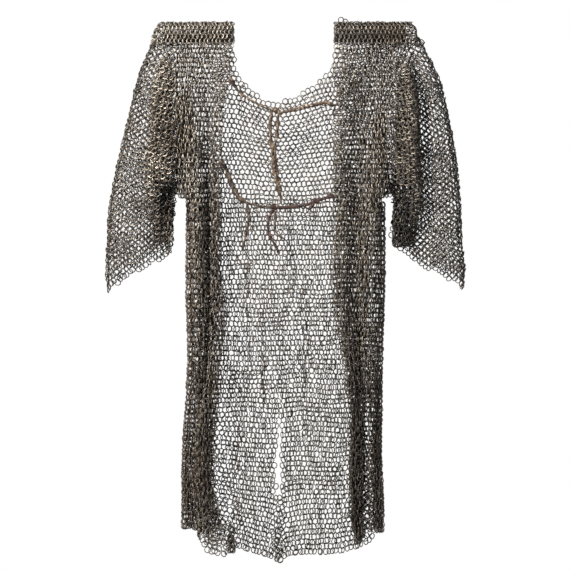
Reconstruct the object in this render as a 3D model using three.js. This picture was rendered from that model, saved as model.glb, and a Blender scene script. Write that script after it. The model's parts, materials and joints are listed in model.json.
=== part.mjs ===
// An open-fronted mail hauberk with elbow sleeves, hung by its shoulders on two short
// lengths of round bar. Millimetres, +Z up, the opening of the coat faces -Y, and the
// origin lies midway between the two bars, on their common axis.

import * as THREE from 'three';

// Driving dimensions
const wall = 3.2;                 // thickness of one layer of mail
const seamGap = 0.3;              // between two pieces at a seam
const barRadius = 15;
const barInnerEnd = 83;           // distance of each bar's ends from the middle
const barOuterEnd = 201;
const barSides = 24;
const barGap = 0.6;               // between a bar and the mail over it
const clothOverBar = barRadius + barGap + wall / 2;   // radius of the mail over a bar
const neckHalfWidth = 84;
const armholeX = 178;             // the armhole creases
const shoulderEdge = -17;         // height of the shoulder pieces' lower edges
const armpit = -262;
const sideTop = -279;             // where the side gussets start
const ventTop = -623;
const underarmClosing = 24;       // drop over which a sleeve's edges come together
const sleeveBackSwell = 1.5;      // how far the back of a sleeve bellies out
const sleeveBackRound = { out: 9, share: 0.6 };   // how it rounds off at the armhole
const shoulderTipReach = 4;       // past the last section of a shoulder's rounded end
const hemCorner = 155;            // where the back hem meets the side gussets
const lastRow = -900;             // below every hem

// Laces
const laceSides = 8;
const laceStep = 2.2;             // length of one straight of a lace, in diameters
const knotFaces = { round: 10, down: 7 };
const laceY = -21;                // plane of the laces between the two front edges

const colours = {
  mail: 0x6b6257,
  shoulder: 0x7d7468,
  bar: 0x2a2724,
  tanLeather: 0x8a6a4c,
  darkLeather: 0x5a2f28,
};

const mailFinish = () => new THREE.MeshStandardMaterial({
  color: colours.mail, roughness: 0.5, metalness: 0.8,
});
const shoulderFinish = () => new THREE.MeshStandardMaterial({
  color: colours.shoulder, roughness: 0.5, metalness: 0.8,
});
const barFinish = () => new THREE.MeshStandardMaterial({
  color: colours.bar, roughness: 0.6, metalness: 0.3,
});
const tanFinish = () => new THREE.MeshStandardMaterial({
  color: colours.tanLeather, roughness: 0.85, metalness: 0,
});
const darkFinish = () => new THREE.MeshStandardMaterial({
  color: colours.darkLeather, roughness: 0.85, metalness: 0,
});

// Section tables. Each row is one level, z, going down; x is the distance from the middle
// plane and y is the depth, towards the wearer's back.

// Front armhole seams, from the shoulder to the armpit: the depth of the mail there
const armholeFront = [
  { z: shoulderEdge, y: -17.1 }, { z: -77, y: -22 }, { z: -125, y: -24 }, { z: -200, y: -21 },
  { z: -240, y: -15 }, { z: armpit, y: -12 },
];

// Side gussets: the front seam, the outermost line and the back seam
const leftSideLevels = [
  { z: -279, frontX: 150, frontY: -18, outX: 159, backX: 150 },
  { z: -415, frontX: 150, frontY: -19, outX: 160, backX: 150 },
  { z: -540, frontX: 147, frontY: -18.5, outX: 157, backX: 147 },
  { z: -600, frontX: 147, frontY: -17, outX: 160, backX: 147 },
  { z: -664, frontX: 151, frontY: -15, outX: 165, backX: 149 },
  { z: -745, frontX: 153, frontY: -14, outX: 167, backX: 151 },
  { z: -830, frontX: 154, frontY: -14, outX: 167, backX: 152 },
];
const rightSideLevels = [
  { z: -279, frontX: 153, frontY: -18, outX: 165, backX: 152 },
  { z: -415, frontX: 152, frontY: -19, outX: 165, backX: 152 },
  { z: -500, frontX: 150, frontY: -18.5, outX: 162, backX: 150 },
  { z: -600, frontX: 147, frontY: -17, outX: 160, backX: 148 },
  { z: -690, frontX: 147, frontY: -16.5, outX: 159, backX: 147 },
  { z: -790, frontX: 151, frontY: -16, outX: 163, backX: 150 },
  { z: -830, frontX: 151, frontY: -16, outX: 163, backX: 150 },
];
const leftSideHem = -817;
const rightSideHem = -823;

// Fronts: the edge is the free edge, with a roll turned under behind it, and crest, dip and
// pleat are the lines of the vertical folds between that edge and the seam.

const leftFrontLevels = [
  { z: -17, rollX: 85, rollY: -17.5, edgeX: 84, edgeY: -17.5, crestX: 104, crestY: -17.5,
    dipX: 124, dipY: -17.5, pleatX: 148, pleatY: -17.5 },
  { z: -77, rollX: 93, rollY: -17, edgeX: 92, edgeY: -18, crestX: 108, crestY: -20,
    dipX: 124, dipY: -16, pleatX: 148, pleatY: -21 },
  { z: -125, rollX: 101, rollY: -17, edgeX: 100, edgeY: -18, crestX: 110, crestY: -21,
    dipX: 125, dipY: -14, pleatX: 147, pleatY: -23 },
  { z: -200, rollX: 105, rollY: -16, edgeX: 104, edgeY: -18, crestX: 112, crestY: -23,
    dipX: 126, dipY: -10, pleatX: 147, pleatY: -27 },
  { z: -262, rollX: 106, rollY: -16, edgeX: 105, edgeY: -19, crestX: 112, crestY: -24,
    dipX: 124, dipY: -7, pleatX: 145, pleatY: -30 },
  { z: -284, rollX: 106, rollY: -16, edgeX: 105, edgeY: -19, crestX: 112, crestY: -24,
    dipX: 123, dipY: -7, pleatX: 143, pleatY: -30 },
  { z: -395, rollX: 111, rollY: -15, edgeX: 109, edgeY: -19, crestX: 115, crestY: -24,
    dipX: 123, dipY: -9, pleatX: 140, pleatY: -28 },
  { z: -440, rollX: 101, rollY: -15, edgeX: 98, edgeY: -19, crestX: 113, crestY: -25,
    dipX: 122, dipY: -11, pleatX: 138, pleatY: -27 },
  { z: -565, rollX: 112, rollY: -14, edgeX: 106, edgeY: -18, crestX: 120, crestY: -27,
    dipX: 126, dipY: -14, pleatX: 137, pleatY: -24 },
  { z: -664, rollX: 122, rollY: -12, edgeX: 115, edgeY: -16, crestX: 145, crestY: -29,
    dipX: 127, dipY: -21, pleatX: 141, pleatY: -14 },
  { z: -745, rollX: 125, rollY: -10, edgeX: 118, edgeY: -15, crestX: 147, crestY: -30,
    dipX: 124, dipY: -21, pleatX: 141, pleatY: -13 },
  { z: -800, rollX: 112, rollY: -10, edgeX: 104, edgeY: -15, crestX: 138, crestY: -29,
    dipX: 124, dipY: -20, pleatX: 140, pleatY: -13 },
  { z: -850, rollX: 88, rollY: -9, edgeX: 84, edgeY: -14, crestX: 112, crestY: -26,
    dipX: 122, dipY: -18, pleatX: 140, pleatY: -15 },
  { z: lastRow, rollX: 88, rollY: -9, edgeX: 84, edgeY: -14, crestX: 110, crestY: -25,
    dipX: 122, dipY: -18, pleatX: 140, pleatY: -15 },
];

const rightFrontLevels = [
  { z: -17, rollX: 85, rollY: -17.5, edgeX: 84, edgeY: -17.5, crestX: 104, crestY: -17.5,
    dipX: 126, dipY: -17.5, pleatX: 150, pleatY: -17.5 },
  { z: -77, rollX: 84, rollY: -17, edgeX: 83, edgeY: -18, crestX: 100, crestY: -20,
    dipX: 124, dipY: -16, pleatX: 150, pleatY: -20 },
  { z: -125, rollX: 84, rollY: -17, edgeX: 83, edgeY: -18, crestX: 99, crestY: -21,
    dipX: 124, dipY: -15, pleatX: 151, pleatY: -22 },
  { z: -200, rollX: 84, rollY: -16, edgeX: 83, edgeY: -18, crestX: 98, crestY: -22,
    dipX: 122, dipY: -13, pleatX: 150, pleatY: -27 },
  { z: -262, rollX: 84, rollY: -16, edgeX: 83, edgeY: -18, crestX: 97, crestY: -22,
    dipX: 121, dipY: -12, pleatX: 148, pleatY: -29 },
  { z: -284, rollX: 84, rollY: -16, edgeX: 83, edgeY: -18, crestX: 97, crestY: -22,
    dipX: 121, dipY: -12, pleatX: 147, pleatY: -29 },
  { z: -415, rollX: 86, rollY: -15, edgeX: 83, edgeY: -18, crestX: 97, crestY: -24,
    dipX: 119, dipY: -11, pleatX: 139, pleatY: -27 },
  { z: -474, rollX: 97, rollY: -14, edgeX: 89, edgeY: -18, crestX: 103, crestY: -25,
    dipX: 121, dipY: -12, pleatX: 139, pleatY: -26 },
  { z: -535, rollX: 112, rollY: -13, edgeX: 99, edgeY: -18, crestX: 112, crestY: -27,
    dipX: 126, dipY: -15, pleatX: 140, pleatY: -25 },
  { z: -610, rollX: 123, rollY: -12, edgeX: 107, edgeY: -19, crestX: 121, crestY: -28,
    dipX: 131, dipY: -16, pleatX: 142, pleatY: -24 },
  { z: -650, rollX: 128, rollY: -11, edgeX: 112, edgeY: -19, crestX: 124, crestY: -28,
    dipX: 132, dipY: -16, pleatX: 142, pleatY: -24 },
  { z: -790, rollX: 128, rollY: -10, edgeX: 112, edgeY: -18, crestX: 124, crestY: -27,
    dipX: 134, dipY: -15, pleatX: 144, pleatY: -22 },
  { z: -836, rollX: 128, rollY: -10, edgeX: 121, edgeY: -17, crestX: 128, crestY: -24,
    dipX: 136, dipY: -15, pleatX: 145, pleatY: -20 },
  { z: lastRow, rollX: 128, rollY: -10, edgeX: 121, edgeY: -17, crestX: 128, crestY: -24,
    dipX: 136, dipY: -15, pleatX: 145, pleatY: -20 },
];

// Hem heights of the fronts, by the fraction of the way from the edge to the seam
const leftFrontHem = [
  { at: 0, z: -848 }, { at: 0.3, z: -861 }, { at: 0.62, z: -857 }, { at: 0.8, z: -838 },
  { at: 0.9, z: -818 }, { at: 1, z: -817 },
];
const rightFrontHem = [
  { at: 0, z: -836 }, { at: 0.2, z: -843 }, { at: 0.4, z: -828 }, { at: 0.7, z: -818 },
  { at: 1, z: -823 },
];

// The sleeves. Inner is the armhole crease, then the line where the sleeve closes under
// the arm; bulge and ridge are the mail bunched in front of the armpit, hollow is the
// trough beyond it, and outer is the fold that hangs from the shoulder.
const leftSleeveLevels = [
  { z: -17, innerX: 178, bulgeX: 186, bulgeY: -17.4, ridgeX: 194, ridgeY: -17.4,
    hollowX: 202, hollowY: -17.2, outerX: 221, depth: 17 },
  { z: -50, innerX: 178, bulgeX: 188, bulgeY: -21, ridgeX: 200, ridgeY: -23,
    hollowX: 212, hollowY: -19, outerX: 234, depth: 17 },
  { z: -90, innerX: 178, bulgeX: 190, bulgeY: -25, ridgeX: 208, ridgeY: -30,
    hollowX: 218, hollowY: -18, outerX: 246, depth: 17 },
  { z: -140, innerX: 178, bulgeX: 189, bulgeY: -28, ridgeX: 213, ridgeY: -34,
    hollowX: 220, hollowY: -17, outerX: 258, depth: 17 },
  { z: -200, innerX: 178, bulgeX: 188, bulgeY: -30, ridgeX: 218, ridgeY: -35,
    hollowX: 226, hollowY: -17, outerX: 272, depth: 18 },
  { z: -236, innerX: 178, bulgeX: 189, bulgeY: -28, ridgeX: 219, ridgeY: -34,
    hollowX: 228, hollowY: -17, outerX: 280, depth: 18 },
  { z: -262, innerX: 178, bulgeX: 190, bulgeY: -9, ridgeX: 217, ridgeY: -30,
    hollowX: 229, hollowY: -18, outerX: 285, depth: 19 },
  { z: -285, innerX: 181, bulgeX: 189, bulgeY: -6, ridgeX: 212, ridgeY: -26,
    hollowX: 228, hollowY: -19, outerX: 289, depth: 19 },
  { z: -334, innerX: 185, bulgeX: 189, bulgeY: -8, ridgeX: 206, ridgeY: -19,
    hollowX: 230, hollowY: -19, outerX: 292, depth: 19 },
  { z: -395, innerX: 188, bulgeX: 190, bulgeY: -10, ridgeX: 204, ridgeY: -18,
    hollowX: 236, hollowY: -19, outerX: 294, depth: 17 },
  { z: -440, innerX: 189, bulgeX: 191, bulgeY: -9, ridgeX: 205, ridgeY: -15,
    hollowX: 240, hollowY: -15, outerX: 290, depth: 12 },
];
const rightSleeveLevels = [
  { z: -17, innerX: 178, bulgeX: 188, bulgeY: -17.4, ridgeX: 198, ridgeY: -17.4,
    hollowX: 208, hollowY: -17.2, outerX: 231, depth: 17 },
  { z: -50, innerX: 178, bulgeX: 190, bulgeY: -20, ridgeX: 204, ridgeY: -22,
    hollowX: 216, hollowY: -17, outerX: 246, depth: 17 },
  { z: -90, innerX: 178, bulgeX: 192, bulgeY: -23, ridgeX: 211, ridgeY: -29,
    hollowX: 222, hollowY: -11, outerX: 262, depth: 17 },
  { z: -140, innerX: 178, bulgeX: 192, bulgeY: -26, ridgeX: 213, ridgeY: -34,
    hollowX: 225, hollowY: -8, outerX: 273, depth: 18 },
  { z: -200, innerX: 178, bulgeX: 193, bulgeY: -29, ridgeX: 214, ridgeY: -35,
    hollowX: 228, hollowY: -7, outerX: 284, depth: 18 },
  { z: -236, innerX: 178, bulgeX: 193, bulgeY: -26, ridgeX: 216, ridgeY: -33,
    hollowX: 232, hollowY: -7, outerX: 288, depth: 19 },
  { z: -262, innerX: 178, bulgeX: 192, bulgeY: -9, ridgeX: 217, ridgeY: -29,
    hollowX: 236, hollowY: -8, outerX: 290, depth: 19 },
  { z: -285, innerX: 181, bulgeX: 190, bulgeY: -6, ridgeX: 216, ridgeY: -27,
    hollowX: 237, hollowY: -9, outerX: 292, depth: 19 },
  { z: -334, innerX: 176, bulgeX: 183, bulgeY: -9, ridgeX: 202, ridgeY: -22,
    hollowX: 224, hollowY: -10, outerX: 294, depth: 19 },
  { z: -395, innerX: 174, bulgeX: 180, bulgeY: -9, ridgeX: 196, ridgeY: -16,
    hollowX: 216, hollowY: -11, outerX: 299, depth: 17 },
  { z: -440, innerX: 174, bulgeX: 180, bulgeY: -9, ridgeX: 196, ridgeY: -13,
    hollowX: 216, hollowY: -11, outerX: 295, depth: 12 },
];
// Cuff heights, by how far out the point is: 0 at the underarm seam, 1 at the outer fold
const leftCuff = [{ at: 0, z: -366 }, { at: 0.5, z: -396 }, { at: 1, z: -431 }];
const rightCuff = [
  { at: 0, z: -347 }, { at: 0.2, z: -366 }, { at: 0.4, z: -384 }, { at: 0.7, z: -403 },
  { at: 1, z: -426 },
];

// Where the mail over each bar rounds off beyond the bar's outer end
const leftShoulderEnd = [
  { x: 203, top: 17.1 }, { x: 209, top: 11 }, { x: 214, top: 0 }, { x: 217.5, top: -8 },
];
const rightShoulderEnd = [
  { x: 209, top: 17.1 }, { x: 214, top: 12 }, { x: 218, top: 3 }, { x: 221, top: -7 },
];

// The back: neckline from left to right, soft folds, vent edges and hem
const neckline = [
  { x: -84, z: -17.3 }, { x: -81, z: -44 }, { x: -73, z: -68 }, { x: -56, z: -90 },
  { x: -31, z: -106 }, { x: -13, z: -111 }, { x: 10, z: -105 }, { x: 43, z: -85 },
  { x: 62, z: -71 }, { x: 76, z: -57 }, { x: 82, z: -40 }, { x: 84, z: -17.3 },
];
const backFolds = [
  { x: -81, halfWidth: 16, depth: 6, top: -380, bottom: -900 },
  { x: -30, halfWidth: 22, depth: -4, top: -330, bottom: -800 },
  { x: 34, halfWidth: 24, depth: 4, top: -420, bottom: -900 },
  { x: 74, halfWidth: 20, depth: -4, top: -260, bottom: -880 },
  { x: -128, halfWidth: 20, depth: -4, top: -120, bottom: -700 },
  { x: 126, halfWidth: 18, depth: 5, top: -90, bottom: -760 },
];
const backY = 17.1;
const ventEdges = [
  { z: ventTop, left: -10, right: -9.4, lap: 0 }, { z: -671, left: -12, right: -4.5, lap: 0 },
  { z: -700, left: -18, right: -5.5, lap: 0 }, { z: -728, left: -15, right: -7, lap: 0.2 },
  { z: -757, left: -12, right: -9, lap: 0.8 }, { z: -785, left: -8, right: -12, lap: 1 },
  { z: -840, left: -5, right: -16, lap: 1 }, { z: lastRow, left: -5, right: -14, lap: 1 },
];
const lapDepth = 3.2;             // each skirt's share of the offset where they overlap
const lapReach = 40;
const backHem = [
  { x: -hemCorner, z: -817 }, { x: -140, z: -826 }, { x: -120, z: -840 },
  { x: -84, z: -851 }, { x: -48, z: -861 }, { x: -20, z: -869 }, { x: -8, z: -880 },
  { x: 4, z: -866 }, { x: 31, z: -862 }, { x: 82, z: -858 }, { x: 122, z: -851 },
  { x: 140, z: -838 }, { x: hemCorner, z: -823 },
];

// Lace routes: x, z and the diameter of the tube
const laceRoutes = {
  upper_lace_left: { diameter: 4, material: tanFinish, points: [
    [-82.2, -85.7], [-71, -98.5], [-58, -108.5], [-44, -117], [-30, -124.5], [-20.4, -128]] },
  upper_lace_right: { diameter: 5, material: tanFinish, points: [
    [-0.9, -130], [13, -127], [26, -124], [40, -121], [55, -117.5], [71.9, -116.5]] },
  upper_leg_left: { diameter: 4, material: tanFinish, points: [
    [-17.6, -134], [-22, -144], [-24, -159], [-23.5, -176], [-21.5, -191], [-19.2, -203]] },
  upper_leg_right: { diameter: 4, material: tanFinish, points: [
    [-9.6, -135.1], [-10.5, -149], [-12, -164], [-12.5, -177], [-13, -191], [-13.6, -203]] },
  upper_twisted_end: { diameter: 7, material: tanFinish, points: [
    [-16.5, -203.5], [-16.8, -218], [-15, -229], [-11.5, -242], [-8, -255], [-6.6, -264]] },
  lower_lace_left: { diameter: 5, material: tanFinish, points: [
    [-96.8, -222.2], [-91, -238], [-86, -253], [-79, -266], [-71, -275], [-62, -279],
    [-52, -282], [-40, -284.5], [-23.7, -286]] },
  lower_lace_right: { diameter: 5, material: darkFinish, points: [
    [-10.3, -287], [0, -286.5], [13, -285.5], [26, -284], [38, -281.5], [46.4, -278.2]] },
  lower_lace_end: { diameter: 4.5, material: darkFinish, points: [
    [59.5, -275], [66, -272.5], [73.3, -270.3]] },
  lower_tail_left: { diameter: 3, material: tanFinish, points: [
    [-60, -283.2], [-58.5, -296], [-58, -307], [-60, -318], [-63, -330], [-65, -341],
    [-67.5, -357]] },
  lower_tail_middle: { diameter: 3, material: darkFinish, points: [
    [-19.8, -292.2], [-23, -302], [-26, -313], [-26, -324], [-23, -336], [-16.5, -347],
    [-11.5, -357], [-8, -367]] },
  lower_tail_right: { diameter: 3, material: tanFinish, points: [
    [-14.6, -292.4], [-14, -303], [-15, -314], [-15.5, -324], [-10, -334], [0, -341]] },
};

// Knots: centre and half sizes. Those that tie the front edges sit in front of them.
const knots = {
  upper_knot_left: { x: -86, y: -25.5, z: -80, sizes: [7, 4, 8.5], material: tanFinish },
  upper_knot_centre: { x: -11, y: -21.5, z: -129, sizes: [9.5, 5, 6], material: tanFinish },
  upper_knot_right: { x: 77, y: -25.5, z: -118, sizes: [6, 4, 7], material: tanFinish },
  lower_knot_left: { x: -101, y: -25.5, z: -216, sizes: [7, 4, 8.5], material: tanFinish },
  lower_knot_centre: { x: -17, y: -21.5, z: -286.5, sizes: [6.3, 4.5, 6], material: darkFinish },
  lower_knot_right: { x: 53, y: -21.5, z: -276.5, sizes: [6.5, 4.5, 5.5], material: darkFinish },
  lower_knot_end: { x: 78.5, y: -25.5, z: -269, sizes: [6, 4, 4.5], material: darkFinish },
};

// Grid sizes of the cloth
const frontColumns = 17;
const sideColumns = 7;
const sleeveColumns = 21;
const arch = { columns: 15, stations: 4 };
const backShoulderColumns = 5;
const skirtColumns = 10;
const armholeRowCount = 7;
const panelRowCount = 9;          // of the gussets, of the skirts and of the sleeves' lower ends

const evenly = (from, to, count) => Array.from({ length: count },
  (_, i) => THREE.MathUtils.lerp(from, to, i / (count - 1)));

// Heights of the rows of points at the seams, shared by the panels that meet there
const clothTop = shoulderEdge - seamGap;
const armholeRows = evenly(clothTop, armpit, armholeRowCount);
const bodyRows = evenly(sideTop, ventTop, panelRowCount);
const skirtRows = (hem) => evenly(ventTop, hem, panelRowCount).slice(1);

// How steeply a column of a table changes at one of its rows, never past a turning point
function slopeAt(table, k, name) {
  if (k === 0 || k === table.length - 1) return 0;
  const above = (table[k][name] - table[k - 1][name]) / (table[k].z - table[k - 1].z);
  const below = (table[k + 1][name] - table[k][name]) / (table[k + 1].z - table[k].z);
  return above * below > 0 ? 2 * above * below / (above + below) : 0;
}

// Every column of a table at a height, by smooth steps between its rows
function levelAt(table, z) {
  const last = table.length - 1;
  let k = 0;
  while (k < last - 1 && z < table[k + 1].z) k += 1;
  const upper = table[k];
  const lower = table[k + 1];
  const span = lower.z - upper.z;
  const t = THREE.MathUtils.clamp((z - upper.z) / span, 0, 1);
  const level = {};
  for (const name of Object.keys(upper)) {
    const rise = lower[name] - upper[name];
    const slopeIn = slopeAt(table, k, name) * span;
    const slopeOut = slopeAt(table, k + 1, name) * span;
    level[name] = upper[name] + rise * t * t * (3 - 2 * t)
      + slopeIn * t * (t - 1) ** 2 + slopeOut * t * t * (t - 1);
  }
  return level;
}

// Straight-line value of one column of a short table, by another of its columns
function lineAt(table, key, value, place) {
  const down = table[0][key] > table[1][key];
  let k = 0;
  while (k < table.length - 2 && (down ? place < table[k + 1][key] : place > table[k + 1][key])) {
    k += 1;
  }
  const from = table[k];
  const to = table[k + 1];
  const t = THREE.MathUtils.clamp((place - from[key]) / (to[key] - from[key]), 0, 1);
  return THREE.MathUtils.lerp(from[value], to[value], t);
}

// A point at a fraction of the length of the smooth curve through [x, y] pairs
function alongSection(pairs, fraction, z) {
  const curve = new THREE.CatmullRomCurve3(pairs.map(([x, y]) => new THREE.Vector3(x, y, 0)));
  const point = curve.getPointAt(fraction);
  return new THREE.Vector3(point.x, point.y, z);
}

// Closed solid of a wall around a grid of points. Where two panels meet, their edges are
// cut square: the directions in squareSides and squareEnds are taken out of the edges'
// normals, on the first and last columns and on the first and last rows.
function sheetSolid(rows, squareSides = ['x', 'z'], squareEnds = ['z']) {
  const height = rows.length;
  const width = rows[0].length;
  const shells = [[], []];
  for (let j = 0; j < height; j += 1) {
    for (let i = 0; i < width; i += 1) {
      const point = rows[j][i];
      const across = rows[j][Math.min(i + 1, width - 1)].clone().sub(rows[j][Math.max(i - 1, 0)]);
      const down = rows[Math.min(j + 1, height - 1)][i].clone().sub(rows[Math.max(j - 1, 0)][i]);
      const normal = across.cross(down);
      if (i === 0 || i === width - 1) squareSides.forEach((axis) => { normal[axis] = 0; });
      if (j === 0 || j === height - 1) squareEnds.forEach((axis) => { normal[axis] = 0; });
      normal.setLength(wall / 2);
      shells[0].push(...point.clone().add(normal));
      shells[1].push(...point.clone().sub(normal));
    }
  }
  const front = (i, j) => j * width + i;
  const behind = (i, j) => width * height + front(i, j);
  const index = [];
  const quad = (a, b, c, d) => index.push(a, b, c, a, c, d);
  for (let j = 0; j < height - 1; j += 1) {
    for (let i = 0; i < width - 1; i += 1) {
      quad(front(i, j), front(i, j + 1), front(i + 1, j + 1), front(i + 1, j));
      quad(behind(i, j), behind(i + 1, j), behind(i + 1, j + 1), behind(i, j + 1));
    }
    quad(front(0, j + 1), front(0, j), behind(0, j), behind(0, j + 1));
    quad(front(width - 1, j), front(width - 1, j + 1), behind(width - 1, j + 1),
      behind(width - 1, j));
  }
  for (let i = 0; i < width - 1; i += 1) {
    quad(front(i, 0), front(i + 1, 0), behind(i + 1, 0), behind(i, 0));
    quad(front(i + 1, height - 1), front(i, height - 1), behind(i, height - 1),
      behind(i + 1, height - 1));
  }
  return closedGeometry(shells.flat(), index);
}

// Turns the faces outwards whichever way the grid ran
function closedGeometry(positions, index) {
  const corner = (n) => new THREE.Vector3().fromArray(positions, 3 * index[n]);
  let volume = 0;
  for (let n = 0; n < index.length; n += 3) {
    volume += corner(n).dot(corner(n + 1).cross(corner(n + 2)));
  }
  if (volume < 0) index.reverse();
  const geometry = new THREE.BufferGeometry();
  geometry.setAttribute('position', new THREE.Float32BufferAttribute(positions, 3));
  geometry.setIndex(index);
  return geometry;
}

const hauberk = new THREE.Group();

function addPiece(name, geometry, material) {
  const mesh = new THREE.Mesh(geometry, material);
  mesh.name = name;
  hauberk.add(mesh);
  return mesh;
}

// Depth of the back panel, with its soft folds
function backDepth(x, z) {
  let y = backY;
  for (const fold of backFolds) {
    const reach = (x - fold.x) / fold.halfWidth;
    const along = THREE.MathUtils.clamp((fold.top - z) / (fold.top - fold.bottom), 0, 1);
    y += fold.depth * Math.exp(-reach * reach) * Math.sin(Math.PI * along);
  }
  return y;
}

// The seams at the edges of the fronts and of the back: the armholes, then the gussets
function frontSeam(sideLevels, z) {
  if (z >= armpit) return [armholeX, levelAt(armholeFront, z).y];
  const at = levelAt(sideLevels, z);
  return [at.frontX, at.frontY];
}

const backSeam = (sideLevels, z) => (z >= armpit ? armholeX : levelAt(sideLevels, z).backX);

// Side is -1 on the left and 1 on the right
function buildFront(name, side, levels, sideLevels, hem) {
  const seamHem = hem[hem.length - 1].z;
  const heights = [...armholeRows, ...bodyRows, ...skirtRows(seamHem)];
  const rows = heights.map((height) => {
    const share = (height - clothTop) / (seamHem - clothTop);
    return evenly(0, 1, frontColumns).map((s) => {
      const z = THREE.MathUtils.lerp(clothTop, lineAt(hem, 'at', 'z', s), share);
      const at = levelAt(levels, z);
      const section = [
        [at.rollX, at.rollY], [at.edgeX, at.edgeY], [at.crestX, at.crestY],
        [at.dipX, at.dipY], [at.pleatX, at.pleatY], frontSeam(sideLevels, height),
      ];
      return alongSection(section.map(([x, y]) => [side * x, y]), s, z);
    });
  });
  addPiece(name, sheetSolid(rows), mailFinish());
}

// Side gussets: half a rounded tube from the front seam to the back seam
function buildSide(name, side, levels, hem) {
  const rows = [...bodyRows, ...skirtRows(hem)].map((z) => {
    const at = levelAt(levels, z);
    const backSeamY = backDepth(side * at.backX, z);
    return evenly(-Math.PI / 2, Math.PI / 2, sideColumns).map((turn) => {
      const share = (1 + Math.sin(turn)) / 2;
      const seamX = THREE.MathUtils.lerp(at.frontX, at.backX, share) + seamGap;
      const bulge = (at.outX - wall / 2 - seamX) * Math.cos(turn);
      const y = THREE.MathUtils.lerp(at.frontY, backSeamY, share);
      return new THREE.Vector3(side * (seamX + bulge), y, z);
    });
  });
  addPiece(name, sheetSolid(rows), mailFinish());
}

// Sleeves: from the front of the armhole, round the outer fold, to the back of it. Under
// the arm the two edges close in towards each other and meet.
function sleeveSection(side, levels, seamHeight, z) {
  const at = levelAt(levels, z);
  const closing = THREE.MathUtils.smoothstep(armpit - seamHeight, 0, underarmClosing);
  const closed = (wall + seamGap) / 2;
  const frontEdge = levelAt(armholeFront, Math.max(seamHeight, armpit)).y;
  const backEdge = backDepth(side * armholeX, seamHeight);
  const front = THREE.MathUtils.lerp(frontEdge, -closed, closing);
  const back = THREE.MathUtils.lerp(backEdge, closed, closing);
  const inner = levelAt(levels, seamHeight).innerX + seamGap;
  const outer = at.outerX - wall / 2;
  const flat = outer - at.depth;
  const corner = at.depth * Math.SQRT1_2;
  return [
    [inner, front], [at.bulgeX, at.bulgeY], [at.ridgeX, at.ridgeY],
    [at.hollowX, at.hollowY], [flat, -at.depth], [flat + corner, -corner],
    [outer, 0], [flat + corner, corner], [flat, at.depth],
    [(flat + inner) / 2, at.depth + sleeveBackSwell],
    [inner + sleeveBackRound.out, THREE.MathUtils.lerp(back, at.depth, sleeveBackRound.share)],
    [inner, back],
  ].map(([x, y]) => [side * x, y]);
}

function buildSleeve(name, side, levels, cuff) {
  const innerCuff = cuff[0].z;
  const heights = [...armholeRows, ...evenly(armpit, innerCuff, panelRowCount).slice(1)];
  const rows = heights.map((height) => {
    const share = (height - clothTop) / (innerCuff - clothTop);
    return evenly(0, 1, sleeveColumns).map((s) => {
      const outward = 1 - Math.abs(2 * s - 1);
      const z = THREE.MathUtils.lerp(clothTop, lineAt(cuff, 'at', 'z', outward), share);
      return alongSection(sleeveSection(side, levels, height, z), s, z);
    });
  });
  addPiece(name, sheetSolid(rows), mailFinish());
}

// Shoulder pieces: an arch over the bar that rounds off past the bar's outer end
function buildShoulder(name, side, end) {
  const start = end[0].x;
  const stations = [
    ...evenly(neckHalfWidth, start, arch.stations).map((x) => ({ x, top: clothOverBar })),
    ...end.slice(1),
  ];
  const tip = end[end.length - 1].x + shoulderTipReach;
  const quarter = Math.PI / 2 * clothOverBar;
  const rows = stations.map(({ x, top }) => {
    const past = Math.max(x - start, 0) / (tip - start);
    const half = clothOverBar * Math.sqrt(1 - past * past);
    const lift = (top - shoulderEdge) / (clothOverBar - shoulderEdge);
    return evenly(-1, 1, arch.columns).map((u) => {
      const length = u * (quarter - shoulderEdge);
      const turn = THREE.MathUtils.clamp(length / clothOverBar, -Math.PI / 2, Math.PI / 2);
      const hang = Math.max(Math.abs(length) - quarter, 0);
      const z = clothOverBar * Math.cos(turn) - hang;
      return new THREE.Vector3(side * x, half * Math.sin(turn),
        THREE.MathUtils.lerp(shoulderEdge, z, lift));
    });
  });
  addPiece(name, sheetSolid(rows, ['z'], ['x']), shoulderFinish());
}

function buildBack() {
  const places = [
    ...evenly(-armholeX, -neckHalfWidth - 1, backShoulderColumns),
    ...neckline.map((point) => point.x),
    ...evenly(neckHalfWidth + 1, armholeX, backShoulderColumns),
  ];
  const rows = [...armholeRows, ...bodyRows].map((height) => {
    const share = (height - clothTop) / (ventTop - clothTop);
    return places.map((place) => {
      const edge = backSeam(place < 0 ? leftSideLevels : rightSideLevels, height);
      const x = place * edge / armholeX;
      const top = Math.abs(place) > neckHalfWidth ? clothTop : lineAt(neckline, 'x', 'z', place);
      const z = THREE.MathUtils.lerp(top, ventTop, share);
      return new THREE.Vector3(x, backDepth(x, z), z);
    });
  });
  addPiece('back', sheetSolid(rows), mailFinish());
}

// The two halves of the back below the vent's top, which lap over each other at the hem
function buildSkirt(name, side, levels, seamHem) {
  const sideName = side < 0 ? 'left' : 'right';
  const heights = [ventTop - seamGap, ...skirtRows(seamHem)];
  const rows = heights.map((height) => {
    const share = (height - ventTop) / (seamHem - ventTop);
    return evenly(0, 1, skirtColumns).map((s) => {
      const ventHem = ventEdges[ventEdges.length - 1][sideName];
      const hemX = THREE.MathUtils.lerp(ventHem, side * hemCorner, s);
      const z = THREE.MathUtils.lerp(ventTop, lineAt(backHem, 'x', 'z', hemX), share);
      const vent = lineAt(ventEdges, 'z', sideName, z);
      const lap = lineAt(ventEdges, 'z', 'lap', z) * side * lapDepth;
      const x = THREE.MathUtils.lerp(vent, side * levelAt(levels, height).backX, s);
      const near = Math.exp(-(((x - vent) / lapReach) ** 2));
      return new THREE.Vector3(x, backDepth(x, z) + lap * near, z);
    });
  });
  addPiece(name, sheetSolid(rows), mailFinish());
}

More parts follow.
